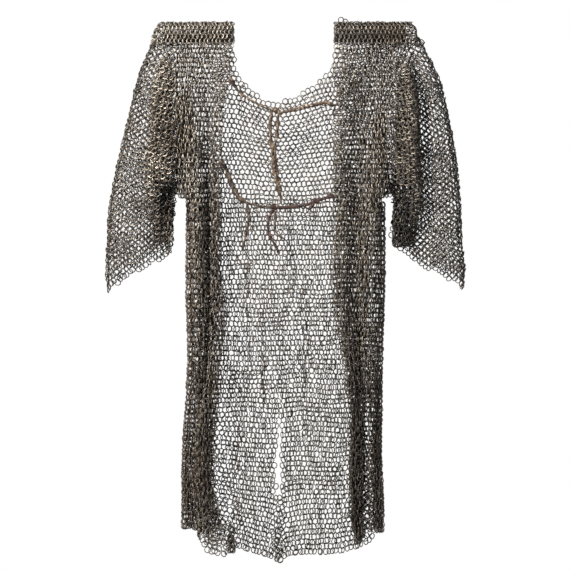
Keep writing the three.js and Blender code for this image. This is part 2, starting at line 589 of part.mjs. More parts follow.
function buildBar(name, side) {
  const length = barOuterEnd - barInnerEnd;
  const bar = new THREE.CylinderGeometry(barRadius, barRadius, length, barSides);
  const mesh = addPiece(name, bar, barFinish());
  mesh.rotation.z = Math.PI / 2;
  mesh.position.x = side * (barInnerEnd + barOuterEnd) / 2;
}

function buildLace(name, { diameter, material, points }) {
  const route = new THREE.CatmullRomCurve3(
    points.map(([x, z]) => new THREE.Vector3(x, laceY, z)));
  const section = new THREE.Shape(evenly(0, laceSides - 1, laceSides).map((k) => {
    const turn = 2 * Math.PI * k / laceSides;
    return new THREE.Vector2(Math.cos(turn), Math.sin(turn)).multiplyScalar(diameter / 2);
  }));
  const steps = Math.max(2, Math.round(route.getLength() / (laceStep * diameter)));
  addPiece(name, new THREE.ExtrudeGeometry(section, {
    steps, extrudePath: route, bevelEnabled: false,
  }), material());
}

function buildKnot(name, { x, y, z, sizes, material }) {
  const mesh = addPiece(name, new THREE.SphereGeometry(1, knotFaces.round, knotFaces.down),
    material());
  mesh.scale.set(...sizes);
  mesh.position.set(x, y, z);
}

buildFront('left_front', -1, leftFrontLevels, leftSideLevels, leftFrontHem);
buildFront('right_front', 1, rightFrontLevels, rightSideLevels, rightFrontHem);
buildSide('left_side', -1, leftSideLevels, leftSideHem);
buildSide('right_side', 1, rightSideLevels, rightSideHem);
buildSleeve('left_sleeve', -1, leftSleeveLevels, leftCuff);
buildSleeve('right_sleeve', 1, rightSleeveLevels, rightCuff);
buildShoulder('left_shoulder', -1, leftShoulderEnd);
buildShoulder('right_shoulder', 1, rightShoulderEnd);
buildBack();
buildSkirt('back_skirt_left', -1, leftSideLevels, leftSideHem);
buildSkirt('back_skirt_right', 1, rightSideLevels, rightSideHem);
buildBar('left_bar', -1);
buildBar('right_bar', 1);
for (const [name, lace] of Object.entries(laceRoutes)) buildLace(name, lace);
for (const [name, knot] of Object.entries(knots)) buildKnot(name, knot);

export default hauberk;
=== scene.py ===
import json
import math
import random
from functools import partial

import bpy
import numpy as np
from mathutils import Euler, Matrix, Vector, noise

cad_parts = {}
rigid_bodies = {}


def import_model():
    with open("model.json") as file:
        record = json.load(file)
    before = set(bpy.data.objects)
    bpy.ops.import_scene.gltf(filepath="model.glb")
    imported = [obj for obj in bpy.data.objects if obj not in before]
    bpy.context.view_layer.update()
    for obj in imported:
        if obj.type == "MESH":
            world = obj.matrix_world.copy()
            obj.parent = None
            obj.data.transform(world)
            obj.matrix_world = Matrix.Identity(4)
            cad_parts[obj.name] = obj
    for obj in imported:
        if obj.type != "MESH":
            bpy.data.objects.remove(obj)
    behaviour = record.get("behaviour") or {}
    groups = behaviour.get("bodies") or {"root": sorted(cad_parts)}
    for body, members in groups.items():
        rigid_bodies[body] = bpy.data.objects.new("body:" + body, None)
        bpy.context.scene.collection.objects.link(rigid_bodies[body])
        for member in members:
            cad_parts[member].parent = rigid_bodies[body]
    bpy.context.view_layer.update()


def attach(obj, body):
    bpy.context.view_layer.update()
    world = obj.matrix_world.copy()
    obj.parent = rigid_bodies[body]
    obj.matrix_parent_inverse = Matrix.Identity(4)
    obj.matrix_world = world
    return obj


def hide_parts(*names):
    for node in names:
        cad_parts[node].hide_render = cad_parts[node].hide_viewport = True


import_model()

# Sizes are written in millimetres and brought to metres where a mesh is made.
# Left and right are the viewer's, x is measured from the middle, -y is the front.
metre = 0.001
scene = bpy.context.scene


def deselectAll():
    if bpy.context.object and bpy.context.object.mode != "OBJECT":
        bpy.ops.object.mode_set(mode="OBJECT")
    bpy.ops.object.select_all(action="DESELECT")


def makeActive(piece):
    deselectAll()
    piece.select_set(True)
    bpy.context.view_layer.objects.active = piece


def editMesh(select):                # into edit mode with all or nothing selected
    bpy.ops.object.mode_set(mode="EDIT")
    bpy.ops.mesh.select_all(action="SELECT" if select else "DESELECT")


def endEdit():
    bpy.ops.object.mode_set(mode="OBJECT")


def applyModifiers(piece):
    makeActive(piece)
    for name in [modifier.name for modifier in piece.modifiers]:
        bpy.ops.object.modifier_apply(modifier=name)


def finishPiece(piece, name, material):
    makeActive(piece)
    bpy.ops.object.transform_apply(location=True, rotation=True, scale=True)
    piece.name = name
    piece.data.name = name
    piece.data.materials.clear()
    piece.data.materials.append(material)
    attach(piece, "root")
    return piece


def joinPieces(pieces):
    makeActive(pieces[0])
    for piece in pieces[1:]:
        piece.select_set(True)
    bpy.ops.object.join()
    return bpy.context.object


def table(columns, rows):
    return {name: np.array(values, float) for name, values in zip(columns.split(), zip(*rows))}


def levelAt(levels, name, z):        # smooth steps between the levels, no overshoot
    down = -levels["z"]
    values = levels[name]
    rise = np.diff(values) / np.diff(down)
    slope = np.zeros(len(values))
    same = rise[:-1] * rise[1:] > 0
    total = np.where(same, rise[:-1] + rise[1:], 1)
    slope[1:-1] = np.where(same, 2 * rise[:-1] * rise[1:] / total, 0)
    k = np.clip(np.searchsorted(down, -np.asarray(z, float)) - 1, 0, len(values) - 2)
    span = down[k + 1] - down[k]
    t = np.clip((-z - down[k]) / span, 0, 1)
    return (values[k] + (values[k + 1] - values[k]) * t * t * (3 - 2 * t)
            + slope[k] * span * t * (t - 1) ** 2 + slope[k + 1] * span * t * t * (t - 1))


def straightAt(rows, key, name, place):
    order = np.argsort(rows[key])
    return np.interp(place, rows[key][order], rows[name][order])


def smoothStep(value, low, high):
    t = np.clip((value - low) / (high - low), 0, 1)
    return t * t * (3 - 2 * t)


def smoothLine(corners, count):      # evenly spaced points of a smooth curve, and its length
    corners = np.asarray(corners, float)
    first = 2 * corners[0] - corners[1]
    last = 2 * corners[-1] - corners[-2]
    joined = np.vstack([first, corners, last])
    gaps = np.maximum(np.linalg.norm(np.diff(joined, axis=0), axis=1) ** 0.5, 1e-3)
    t = np.linspace(0, 1, 13)[:-1, None]
    fine = []
    for k in range(1, len(joined) - 2):
        before, a, b, after = joined[k - 1:k + 3]
        g0, g1, g2 = gaps[k - 1:k + 2]
        slopeA = g1 * ((a - before) / g0 - (b - before) / (g0 + g1) + (b - a) / g1)
        slopeB = g1 * ((b - a) / g1 - (after - a) / (g1 + g2) + (after - b) / g2)
        fine.append(a + (b - a) * t * t * (3 - 2 * t) + slopeA * t * (t - 1) ** 2
                    + slopeB * t * t * (t - 1))
    fine = np.vstack(fine + [corners[-1:]])
    along = np.concatenate([[0], np.cumsum(np.linalg.norm(np.diff(fine, axis=0), axis=1))])
    even = np.linspace(0, along[-1], count)
    return np.stack([np.interp(even, along, column) for column in fine.T], 1), along[-1]


# A surface holds cross-sections at even heights, each evenly spaced round the cloth.
def makeSurface(cornersAt, top, bottom, step=4.0, columns=97):
    heights = np.arange(top, bottom - step, -step)
    made = [smoothLine(cornersAt(z), columns) for z in heights]
    return {
        "top": top, "step": step, "lines": np.array([line for line, width in made]),
        "widths": np.array([width for line, width in made]), "heights": heights,
    }


def onSurface(surface, f, z):
    lines = surface["lines"]
    row = np.clip((surface["top"] - z) / surface["step"], 0, len(lines) - 1.001)
    column = np.clip(f, 0, 1) * (lines.shape[1] - 1.001)
    j, i = row.astype(int), column.astype(int)
    tj, ti = (row - j)[:, None], (column - i)[:, None]
    upper = lines[j, i] * (1 - ti) + lines[j, i + 1] * ti
    lower = lines[j + 1, i] * (1 - ti) + lines[j + 1, i + 1] * ti
    flat = upper * (1 - tj) + lower * tj
    return np.column_stack([flat, z])


def widthAt(surface, z):
    return np.interp(-z, -surface["heights"], surface["widths"])


def waviness(points, size, reach):   # slow drift of the rows and columns, the same each run
    return np.array([size * noise.noise(Vector(p) / reach) for p in points])


cameraPlace = {"viewWidth": 940.5, "distance": 7000, "middleX": 1.65, "middleZ": -415,
               "filmWidth": 36, "clipEnd": 60}


def makeCamera():
    deselectAll()
    place = Vector((cameraPlace["middleX"], -cameraPlace["distance"], cameraPlace["middleZ"]))
    bpy.ops.object.camera_add(location=place * metre, rotation=(math.pi / 2, 0, 0))
    camera = bpy.context.object
    camera.data.sensor_width = cameraPlace["filmWidth"]
    camera.data.lens = (cameraPlace["filmWidth"] * cameraPlace["distance"]
                        / cameraPlace["viewWidth"])
    camera.data.clip_end = cameraPlace["clipEnd"]
    scene.camera = camera


makeCamera()
print("camera placed")


def newMaterial(name):
    material = bpy.data.materials.new(name)
    material.use_nodes = True
    tree = material.node_tree
    return material, tree, tree.nodes["Principled BSDF"]


def addNode(tree, kind, inputs=None, **settings):
    node = tree.nodes.new(kind)
    for key, value in settings.items():
        setattr(node, key, value)
    for key, value in (inputs or {}).items():
        if isinstance(value, bpy.types.NodeSocket):
            tree.links.new(value, node.inputs[key])
        else:
            node.inputs[key].default_value = value
    return node


def mixColours(tree, amount, first, second, blend="MIX"):
    node = addNode(tree, "ShaderNodeMix", data_type="RGBA", blend_type=blend)
    for socket, value in ((node.inputs[0], amount), (node.inputs[6], first), (node.inputs[7], second)):
        if isinstance(value, bpy.types.NodeSocket):
            tree.links.new(value, socket)
        elif isinstance(value, (int, float)):
            socket.default_value = value
        else:
            socket.default_value = (*value, 1)
    return node.outputs[2]


def rangeOf(tree, value, low, high, toLow=0.0, toHigh=1.0):
    return addNode(tree, "ShaderNodeMapRange", {
        "Value": value, "From Min": low, "From Max": high, "To Min": toLow, "To Max": toHigh,
    }).outputs[0]


# Patches of an even noise, softly cut: used for rust, grime and worn leather alike
def makePatchGroup():
    group = bpy.data.node_groups.new("agedPatches", "ShaderNodeTree")
    for name, value in (("Patches per metre", 20.0), ("Softness", 0.1), ("Cover", 0.5)):
        socket = group.interface.new_socket(name, in_out="INPUT", socket_type="NodeSocketFloat")
        socket.default_value = value
    group.interface.new_socket("Mask", in_out="OUTPUT", socket_type="NodeSocketFloat")
    start = group.nodes.new("NodeGroupInput")
    end = group.nodes.new("NodeGroupOutput")
    place = addNode(group, "ShaderNodeTexCoord")
    cloud = addNode(group, "ShaderNodeTexNoise", {
        "Vector": place.outputs["Object"], "Scale": start.outputs["Patches per metre"],
        "Detail": 5.0, "Roughness": 0.6,
    })
    low = addNode(group, "ShaderNodeMath", {
        0: start.outputs["Cover"], 1: start.outputs["Softness"],
    }, operation="SUBTRACT")
    high = addNode(group, "ShaderNodeMath", {
        0: start.outputs["Cover"], 1: start.outputs["Softness"],
    }, operation="ADD")
    mask = addNode(group, "ShaderNodeMapRange", {
        "Value": cloud.outputs[0], "From Min": low.outputs[0], "From Max": high.outputs[0],
    })
    group.links.new(mask.outputs[0], end.inputs["Mask"])
    return group


agedPatches = makePatchGroup()


def addPatches(tree, perMetre, softness, cover):
    node = addNode(tree, "ShaderNodeGroup", node_tree=agedPatches)
    node.inputs["Patches per metre"].default_value = perMetre
    node.inputs["Softness"].default_value = softness
    node.inputs["Cover"].default_value = cover
    return node.outputs["Mask"]


# Iron colours: wire is the rings' own colour; shade is painted shade; paintedHighlight is a painted
# highlight, which also lightens some rings at random
mailLook = {
    "shade": (0.016, 0.015, 0.014), "wire": (0.066, 0.0595, 0.0515), "paintedHighlight": (0.37, 0.33, 0.28),
    "rust": (0.076, 0.056, 0.041), "crossingShadeAndGrime": (0.008, 0.007, 0.006), "crossingShadeAndGrimeAmount": 0.9,
    "metallic": 0.7, "roughness": (0.44, 0.64), "pits": 1800.0, "pitDepth": 0.2,
    "rustPatches": (9, 0.14, 0.62), "rustSpecks": (420, 0.10, 0.60), "polish": (260, 0.2, 0.5),
}


def addBump(tree, shader, height, strength, depth):
    bump = addNode(tree, "ShaderNodeBump", {
        "Height": height, "Strength": strength, "Distance": depth * metre,
    })
    tree.links.new(bump.outputs[0], shader.inputs["Normal"])


def makeMailIron():
    material, tree, shader = newMaterial("mailIron")
    tone = addNode(tree, "ShaderNodeAttribute", attribute_name="ringTone").outputs["Fac"]
    crossing = addNode(tree, "ShaderNodeAttribute", attribute_name="crossing").outputs["Fac"]
    # The ring's tone carries painted light and shade with a random tone: below 0 it goes to painted
    # shade, above 0 to painted highlight
    iron = mixColours(tree, rangeOf(tree, tone, -0.5, 0.0), mailLook["shade"], mailLook["wire"])
    lit = mixColours(tree, rangeOf(tree, tone, 0.0, 1.0), iron, mailLook["paintedHighlight"])
    # Rust is darkened by the same tone, so it takes the painted shade too
    rust = mixColours(tree, rangeOf(tree, tone, -0.6, -0.1), mailLook["shade"], mailLook["rust"])
    rusty = mixColours(tree, addPatches(tree, *mailLook["rustPatches"]), lit, rust)
    speckled = mixColours(tree, addPatches(tree, *mailLook["rustSpecks"]), rusty, rust)
    # Darker where the rings cross: part grime, part painted shade between the wires
    shadeAndGrimeMask = rangeOf(tree, crossing, 0.45, 0.95, 0.0, mailLook["crossingShadeAndGrimeAmount"])
    colour = mixColours(tree, shadeAndGrimeMask, speckled, mailLook["crossingShadeAndGrime"])
    tree.links.new(colour, shader.inputs["Base Color"])
    shader.inputs["Metallic"].default_value = mailLook["metallic"]
    rough = rangeOf(tree, addPatches(tree, *mailLook["polish"]), 0, 1, *mailLook["roughness"])
    tree.links.new(rough, shader.inputs["Roughness"])
    place = addNode(tree, "ShaderNodeTexCoord")
    pits = addNode(tree, "ShaderNodeTexNoise", {
        "Vector": place.outputs["Object"], "Scale": mailLook["pits"], "Detail": 3.0,
    })
    addBump(tree, shader, pits.outputs[0], 0.35, mailLook["pitDepth"])
    return material


thongLooks = {
    "tanLeather": {"skin": (0.066, 0.046, 0.032), "dark": (0.020, 0.013, 0.009),
                   "dry": (0.23, 0.175, 0.13), "cover": 0.45, "slot": "tan_leather"},
    "wornLeather": {"skin": (0.046, 0.031, 0.021), "dark": (0.013, 0.009, 0.007),
                    "dry": (0.15, 0.105, 0.072), "cover": 0.43, "slot": "tan_leather"},
    "darkLeather": {"skin": (0.026, 0.010, 0.008), "dark": (0.009, 0.005, 0.004),
                    "dry": (0.078, 0.040, 0.033), "cover": 0.46, "slot": "dark_leather"},
}
hide = {
    "darkPatches": (90, 0.09), "dryPatches": (240, 0.06, 0.60), "polish": (300, 0.2, 0.5),
    "roughness": (0.62, 0.92), "grain": 900.0, "cracks": 420.0, "crackDepth": -0.6, "relief": 0.5,
}


def makeLeather(name):
    look = thongLooks[name]
    material, tree, shader = newMaterial(name)
    darkened = addPatches(tree, *hide["darkPatches"], look["cover"])
    worn = mixColours(tree, darkened, look["skin"], look["dark"])
    colour = mixColours(tree, addPatches(tree, *hide["dryPatches"]), worn, look["dry"])
    tree.links.new(colour, shader.inputs["Base Color"])
    shader.inputs["Specular IOR Level"].default_value = 0.3
    rough = rangeOf(tree, addPatches(tree, *hide["polish"]), 0, 1, *hide["roughness"])
    tree.links.new(rough, shader.inputs["Roughness"])
    place = addNode(tree, "ShaderNodeTexCoord")
    grain = addNode(tree, "ShaderNodeTexNoise", {
        "Vector": place.outputs["Object"], "Scale": hide["grain"], "Detail": 6.0, "Roughness": 0.65,
    })
    cracks = addNode(tree, "ShaderNodeTexVoronoi", {
        "Vector": place.outputs["Object"], "Scale": hide["cracks"],
    }, feature="DISTANCE_TO_EDGE")
    sunken = rangeOf(tree, cracks.outputs["Distance"], 0.0, 0.12, hide["crackDepth"], 0.0)
    height = addNode(tree, "ShaderNodeMath", {0: grain.outputs[0], 1: sunken}, operation="ADD")
    addBump(tree, shader, height.outputs[0], 0.6, hide["relief"])
    return material


barLook = {"stain": (0.008, 0.007, 0.006), "grain": (0.026, 0.020, 0.014),
           "roughness": (0.48, 0.7), "grainStretch": (6.0, 120.0, 120.0), "relief": 0.4}


def makeStainedWood():
    material, tree, shader = newMaterial("stainedWood")
    place = addNode(tree, "ShaderNodeTexCoord")
    stretched = addNode(tree, "ShaderNodeMapping", {
        "Vector": place.outputs["Object"], "Scale": barLook["grainStretch"],
    })
    grain = addNode(tree, "ShaderNodeTexNoise", {
        "Vector": stretched.outputs[0], "Scale": 1.0, "Detail": 6.0, "Distortion": 0.6,
    })
    colour = mixColours(tree, rangeOf(tree, grain.outputs[0], 0.42, 0.62), barLook["stain"],
                        barLook["grain"])
    tree.links.new(colour, shader.inputs["Base Color"])
    rough = rangeOf(tree, grain.outputs[0], 0.3, 0.7, *barLook["roughness"])
    tree.links.new(rough, shader.inputs["Roughness"])
    addBump(tree, shader, grain.outputs[0], 0.25, barLook["relief"])
    return material


mailIron = makeMailIron()
leathers = {name: makeLeather(name) for name in thongLooks}
stainedWood = makeStainedWood()


# Each thong is one curve, from the mail it is tied to down to its free end.
thongs = {
    "upperThongLeft": {
        "replaces": ("upper_lace_left", "upper_leg_left"), "with": ("upperKnotLeft", "upperTag"),
        "leather": "tanLeather", "diameter": 5.2, "flat": 0.6,
        "route": ((-87, -24.5, -80.5), (-81.5, -21, -87), (-71, -21, -99), (-58, -21, -108.5),
                  (-44, -21, -117), (-30, -21, -124), (-22, -21, -126.5), (-19.5, -21.5, -133),
                  (-22.5, -21, -146), (-22.5, -21, -160), (-21.5, -21, -176), (-19.5, -21, -192),
                  (-18, -20, -203), (-13.5, -19.2, -212), (-17.6, -23, -221),
                  (-11.6, -20.2, -231), (-13.2, -22.4, -242), (-7.6, -20.4, -252),
                  (-7.4, -21.6, -262), (-5.2, -21, -271), (-4.0, -21, -280)),
        "widths": ((0, 5.2), (0.08, 4.4), (0.2, 3.8), (0.33, 4.0), (0.37, 6.0), (0.48, 5.8),
                   (0.6, 6.0), (0.7, 7.4), (0.88, 8.0), (0.935, 8.4), (0.955, 4.6), (1, 2.8)),
        "turns": ((0, 0), (0.35, 5), (0.62, 7), (1, 13)),
    },
    "upperThongRight": {
        "replaces": ("upper_lace_right", "upper_leg_right", "upper_twisted_end"),
        "with": ("upperKnotRight", "upperKnotCentre"),
        "leather": "tanLeather", "diameter": 6.0, "flat": 0.55,
        "route": ((78, -24.5, -119), (70, -21, -114.5), (55, -21, -117.5), (40, -21, -121),
                  (26, -21, -124.5), (13, -21, -127.5), (-1, -21, -130.5), (-9.5, -22, -136),
                  (-10.5, -21, -149), (-11.5, -21, -164), (-13.5, -21, -178), (-15.5, -21, -191),
                  (-14.8, -22, -203), (-18.4, -22.2, -212), (-13.2, -19.4, -221),
                  (-16.0, -22.0, -231), (-9.0, -19.8, -242), (-10.4, -22, -252),
                  (-6.6, -20.6, -262)),
        "widths": ((0, 6.2), (0.1, 7.8), (0.22, 6.8), (0.38, 5.8), (0.45, 6.2), (0.55, 5.6),
                   (0.68, 6.2), (0.82, 8.0), (0.9, 8.0), (0.98, 8.2), (1, 6.4)),
        "turns": ((0, 0), (0.4, 12), (0.7, 15), (1, 20)),
    },
    "lowerThongLeft": {
        "replaces": ("lower_lace_left", "lower_tail_right"), "with": ("lowerKnotLeft",),
        "leather": "wornLeather", "diameter": 5.6, "flat": 0.6,
        "route": ((-102, -24.5, -214), (-96.5, -21, -222.5), (-90, -21, -238), (-85, -21, -253),
                  (-78, -21, -266), (-70, -21, -275), (-62, -21, -279.5), (-52, -21, -282.5),
                  (-40, -21, -285), (-26, -21, -286.5), (-16.5, -22, -290.5), (-14, -21, -303),
                  (-15, -21, -314), (-14.5, -21, -324), (-9, -21, -333), (0, -21, -339)),
        "widths": ((0, 6.0), (0.12, 8.0), (0.3, 8.6), (0.4, 7.2), (0.46, 4.0), (0.64, 3.6),
                   (0.72, 5.0), (0.85, 4.6), (1, 3.0)),
        "turns": ((0, 0), (0.4, 5), (0.7, 8), (1, 11)),
    },
    "lowerThongRight": {
        "replaces": ("lower_lace_right", "lower_lace_end", "lower_tail_middle"),
        "with": ("lowerKnotEnd", "lowerKnotRight", "lowerKnotCentre", "lowerTag"),
        "leather": "darkLeather", "diameter": 5.4, "flat": 0.6,
        "route": ((79, -24.5, -269), (72.5, -21, -270.5), (66, -21, -272.5), (59.5, -21, -275),
                  (53, -21.5, -277), (46.4, -21, -279.5), (38, -21, -282.5), (26, -21, -285),
                  (13, -21, -286.5), (0, -21, -287.5), (-12, -21, -288), (-19.5, -22, -294),
                  (-24, -21, -305), (-26.5, -21, -316), (-25, -21, -328), (-19.5, -21, -341),
                  (-12.5, -21, -353), (-8, -21, -366)),
        "widths": ((0, 6.4), (0.12, 5.4), (0.2, 5.2), (0.3, 6.2), (0.45, 6.4), (0.55, 5.8),
                   (0.62, 5.0), (0.8, 5.0), (0.92, 4.4), (1, 3.0)),
        "turns": ((0, 0), (0.55, 17), (1, 24)),
    },
    "lowerTailLeft": {
        "replaces": ("lower_tail_left",), "with": (),
        "leather": "wornLeather", "diameter": 4.4, "flat": 0.65,
        "route": ((-61, -21, -282), (-58.5, -21, -296), (-57.5, -21, -307), (-60, -21, -318),
                  (-62, -21, -330), (-64.5, -21, -341), (-67.5, -21, -357)),
        "widths": ((0, 4.4), (0.2, 6.0), (0.4, 5.4), (0.55, 3.6), (0.8, 4.2), (1, 3.0)),
        "turns": ((0, 0), (1, 5)),
    },
}
strips = {"sides": 8, "step": 1.5, "swell": 1.16, "uneven": 0.16, "unevenStep": 0.21,
          "drift": 0.8, "driftStep": 0.05, "roughness": 0.6, "roughReach": 2.4}


def finishLeather(piece, name, leather):
    bpy.ops.object.shade_smooth()
    return finishPiece(piece, name, leathers[leather])


def makeThongSection(flat):          # the cut of the strip, rounder where flat nears 1
    bpy.ops.curve.primitive_bezier_circle_add(radius=0.5 * metre)
    ring = bpy.context.object
    ring.data.resolution_u = strips["sides"] // 4
    ring.scale = (1, flat, 1)
    bpy.ops.object.transform_apply(location=False, rotation=False, scale=True)
    return ring


def makeThong(name, thong):
    deselectAll()
    count = max(20, int(smoothLine(thong["route"], 3)[1] / strips["step"]))
    line, length = smoothLine(thong["route"], count)
    section = makeThongSection(thong["flat"])
    curve = bpy.data.curves.new(name, "CURVE")
    curve.dimensions = "3D"
    curve.bevel_mode = "OBJECT"
    curve.bevel_object = section
    curve.use_fill_caps = True
    spline = curve.splines.new("POLY")
    spline.points.add(count - 1)
    at = np.linspace(0, 1, count)
    widths = np.interp(at, *zip(*thong["widths"]))
    turns = np.interp(at, *zip(*thong["turns"]))
    for k, point in enumerate(spline.points):
        point.co = (*(line[k] * metre), 1)
        uneven = noise.noise(Vector((k * strips["unevenStep"], len(name), 0)))
        point.radius = widths[k] * strips["swell"] * (1 + strips["uneven"] * uneven)
        drift = noise.noise(Vector((0, k * strips["driftStep"], 3)))
        point.tilt = turns[k] * math.pi + strips["drift"] * drift
    strip = bpy.data.objects.new(name, curve)
    scene.collection.objects.link(strip)
    makeActive(strip)
    bpy.ops.object.convert(target="MESH")
    strip = bpy.context.object
    bpy.data.objects.remove(section)
    editMesh(True)
    bpy.ops.mesh.remove_doubles(threshold=0.00001)
    bpy.ops.mesh.normals_make_consistent(inside=False)
    endEdit()
    roughen(strip, strips["roughness"], strips["roughReach"])
    applyModifiers(strip)
    finishLeather(strip, name, thong["leather"])
    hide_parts(*thong["replaces"])
    return strip, line, length


def roughen(piece, strength, reach):  # the uneven surface of cut hide
    rough = piece.modifiers.new("roughened", "DISPLACE")
    cloud = bpy.data.textures.new(piece.name + "Rough", "CLOUDS")
    cloud.noise_scale = reach * metre
    rough.texture = cloud
    rough.texture_coords = "LOCAL"
    rough.strength = strength * metre


# Knots are two or three tight turns of the strip, drawn together and dried hard.
knots = {
    "upperKnotLeft": {"replaces": "upper_knot_left", "at": (-86, -25.5, -80), "turns": 3,
                      "half": (7, 4, 8.5), "leather": "wornLeather"},
    "upperKnotCentre": {"replaces": "upper_knot_centre", "at": (-11, -21.5, -129), "turns": 3,
                        "half": (9.5, 5, 6), "leather": "tanLeather"},
    "upperKnotRight": {"replaces": "upper_knot_right", "at": (77, -25.5, -118), "turns": 2,
                       "half": (6, 4, 7), "leather": "tanLeather"},
    "lowerKnotLeft": {"replaces": "lower_knot_left", "at": (-101, -25.5, -216), "turns": 3,
                      "half": (7, 4, 8.5), "leather": "wornLeather"},
    "lowerKnotCentre": {"replaces": "lower_knot_centre", "at": (-17, -21.5, -286.5), "turns": 2,
                        "half": (6.3, 4.5, 6), "leather": "darkLeather"},
    "lowerKnotRight": {"replaces": "lower_knot_right", "at": (53, -21.5, -276.5), "turns": 2,
                       "half": (6.5, 4.5, 5.5), "leather": "darkLeather"},
    "lowerKnotEnd": {"replaces": "lower_knot_end", "at": (78.5, -25.5, -269), "turns": 2,
                     "half": (6, 4, 4.5), "leather": "darkLeather"},
}

tightening = {"turn": 0.62, "strand": 0.36, "core": 0.55, "start": (1.1, 0.5, 0),
              "spread": (2.1, 3.9, 2.6), "grain": 0.75, "roughness": 0.9, "roughReach": 2.2}

# Short ends of the strips that stick out of the upper left thong and the lower right knot
tags = {
    "upperTag": {"ends": ((-67, -21.5, -102), (-70.5, -22.5, -108)), "widths": (4.6, 3.4),
                 "leather": "tanLeather"},
    "lowerTag": {"ends": ((50, -22.5, -280), (41, -22.5, -292)), "widths": (5.4, 3.0),
                 "leather": "darkLeather"},
}


tagCut = {"sides": 8, "flat": 0.55, "roughness": 0.8, "roughReach": 2.4}


def makeTag(name, tag):
    deselectAll()
    start, end = (Vector(place) for place in tag["ends"])
    bpy.ops.mesh.primitive_cone_add(
        vertices=tagCut["sides"], radius1=tag["widths"][0] / 2 * metre,
        radius2=tag["widths"][1] / 2 * metre, depth=(end - start).length * metre,
        location=(start + end) / 2 * metre,
        rotation=(end - start).to_track_quat("Z", "Y").to_euler())
    strip = bpy.context.object
    strip.scale = (1, tagCut["flat"], 1)
    bpy.ops.object.transform_apply(location=True, rotation=True, scale=True)
    editMesh(True)
    bpy.ops.mesh.subdivide(number_cuts=3, smoothness=0.6)
    bpy.ops.mesh.quads_convert_to_tris()
    endEdit()
    roughen(strip, tagCut["roughness"], tagCut["roughReach"])
    applyModifiers(strip)
    return finishLeather(strip, name, tag["leather"])


def makeKnot(name, knot):
    parts = []
    half = Vector(knot["half"])
    for k in range(knot["turns"]):
        deselectAll()
        share = k / knot["turns"]
        angles = [a + b * share for a, b in zip(tightening["start"], tightening["spread"])]
        bpy.ops.mesh.primitive_torus_add(
            major_segments=24, minor_segments=10, major_radius=tightening["turn"],
            minor_radius=tightening["strand"], rotation=angles)
        parts.append(bpy.context.object)
    bpy.ops.mesh.primitive_ico_sphere_add(subdivisions=2, radius=tightening["core"])
    parts.append(bpy.context.object)
    lump = joinPieces(parts)
    lump.scale = half * metre
    lump.location = Vector(knot["at"]) * metre
    bpy.ops.object.transform_apply(location=True, rotation=True, scale=True)
    remesh = lump.modifiers.new("drawnTogether", "REMESH")
    remesh.mode = "VOXEL"
    remesh.voxel_size = tightening["grain"] * metre
    relax = lump.modifiers.new("relaxed", "SMOOTH")
    relax.factor = 0.6
    relax.iterations = 2
    roughen(lump, tightening["roughness"], tightening["roughReach"])
    applyModifiers(lump)
    finishLeather(lump, name, knot["leather"])
    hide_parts(knot["replaces"])
    return lump


knotPieces = {name: makeKnot(name, knot) for name, knot in knots.items()}
knotPieces.update({name: makeTag(name, tag) for name, tag in tags.items()})
for name, thong in thongs.items():
    strip, line, length = makeThong(name, thong)
print("thongs and knots tied")


# The cut of the mail, level by level: each row's corners run from its free edge to its seam.
armholeFront = table('z y', (
    (-17, -17.1), (-77, -22), (-125, -24), (-200, -21), (-240, -15), (-262, -12),
))
leftSideLevels = table('z frontX frontY outX backX', (
    (-279, 150, -18, 159, 150), (-415, 150, -19, 160, 150), (-540, 147, -18.5, 157, 147),
    (-600, 147, -17, 160, 147), (-664, 151, -15, 165, 149), (-745, 153, -14, 167, 151),
    (-830, 154, -14, 167, 152),
))
rightSideLevels = table('z frontX frontY outX backX', (
    (-279, 153, -18, 165, 152), (-415, 152, -19, 165, 152), (-500, 150, -18.5, 162, 150),
    (-600, 147, -17, 160, 148), (-690, 147, -16.5, 159, 147), (-790, 151, -16, 163, 150),
    (-830, 151, -16, 163, 150),
))
leftFrontLevels = table('z rollX rollY edgeX edgeY crestX crestY dipX dipY pleatX pleatY', (
    (-17, 85, -17.5, 84, -17.5, 104, -17.5, 124, -17.5, 148, -17.5),
    (-77, 93, -17, 92, -18, 108, -20, 124, -16, 148, -21),
    (-125, 101, -17, 100, -18, 110, -21, 125, -14, 147, -23),
    (-200, 105, -16, 104, -18, 112, -23, 126, -10, 147, -27),
    (-262, 106, -16, 105, -19, 112, -24, 124, -7, 145, -30),
    (-284, 106, -16, 105, -19, 112, -24, 123, -7, 143, -30),
    (-395, 111, -15, 109, -19, 115, -24, 123, -9, 140, -28),
    (-440, 101, -15, 98, -19, 113, -25, 122, -11, 138, -27),
    (-565, 112, -14, 106, -18, 120, -27, 126, -14, 137, -24),
    (-664, 122, -12, 115, -16, 145, -29, 127, -21, 141, -14),
    (-745, 125, -10, 118, -15, 147, -30, 124, -21, 141, -13),
    (-800, 112, -10, 104, -15, 138, -29, 124, -20, 140, -13),
    (-850, 88, -9, 84, -14, 112, -26, 122, -18, 140, -15),
    (-900, 88, -9, 84, -14, 110, -25, 122, -18, 140, -15),
))
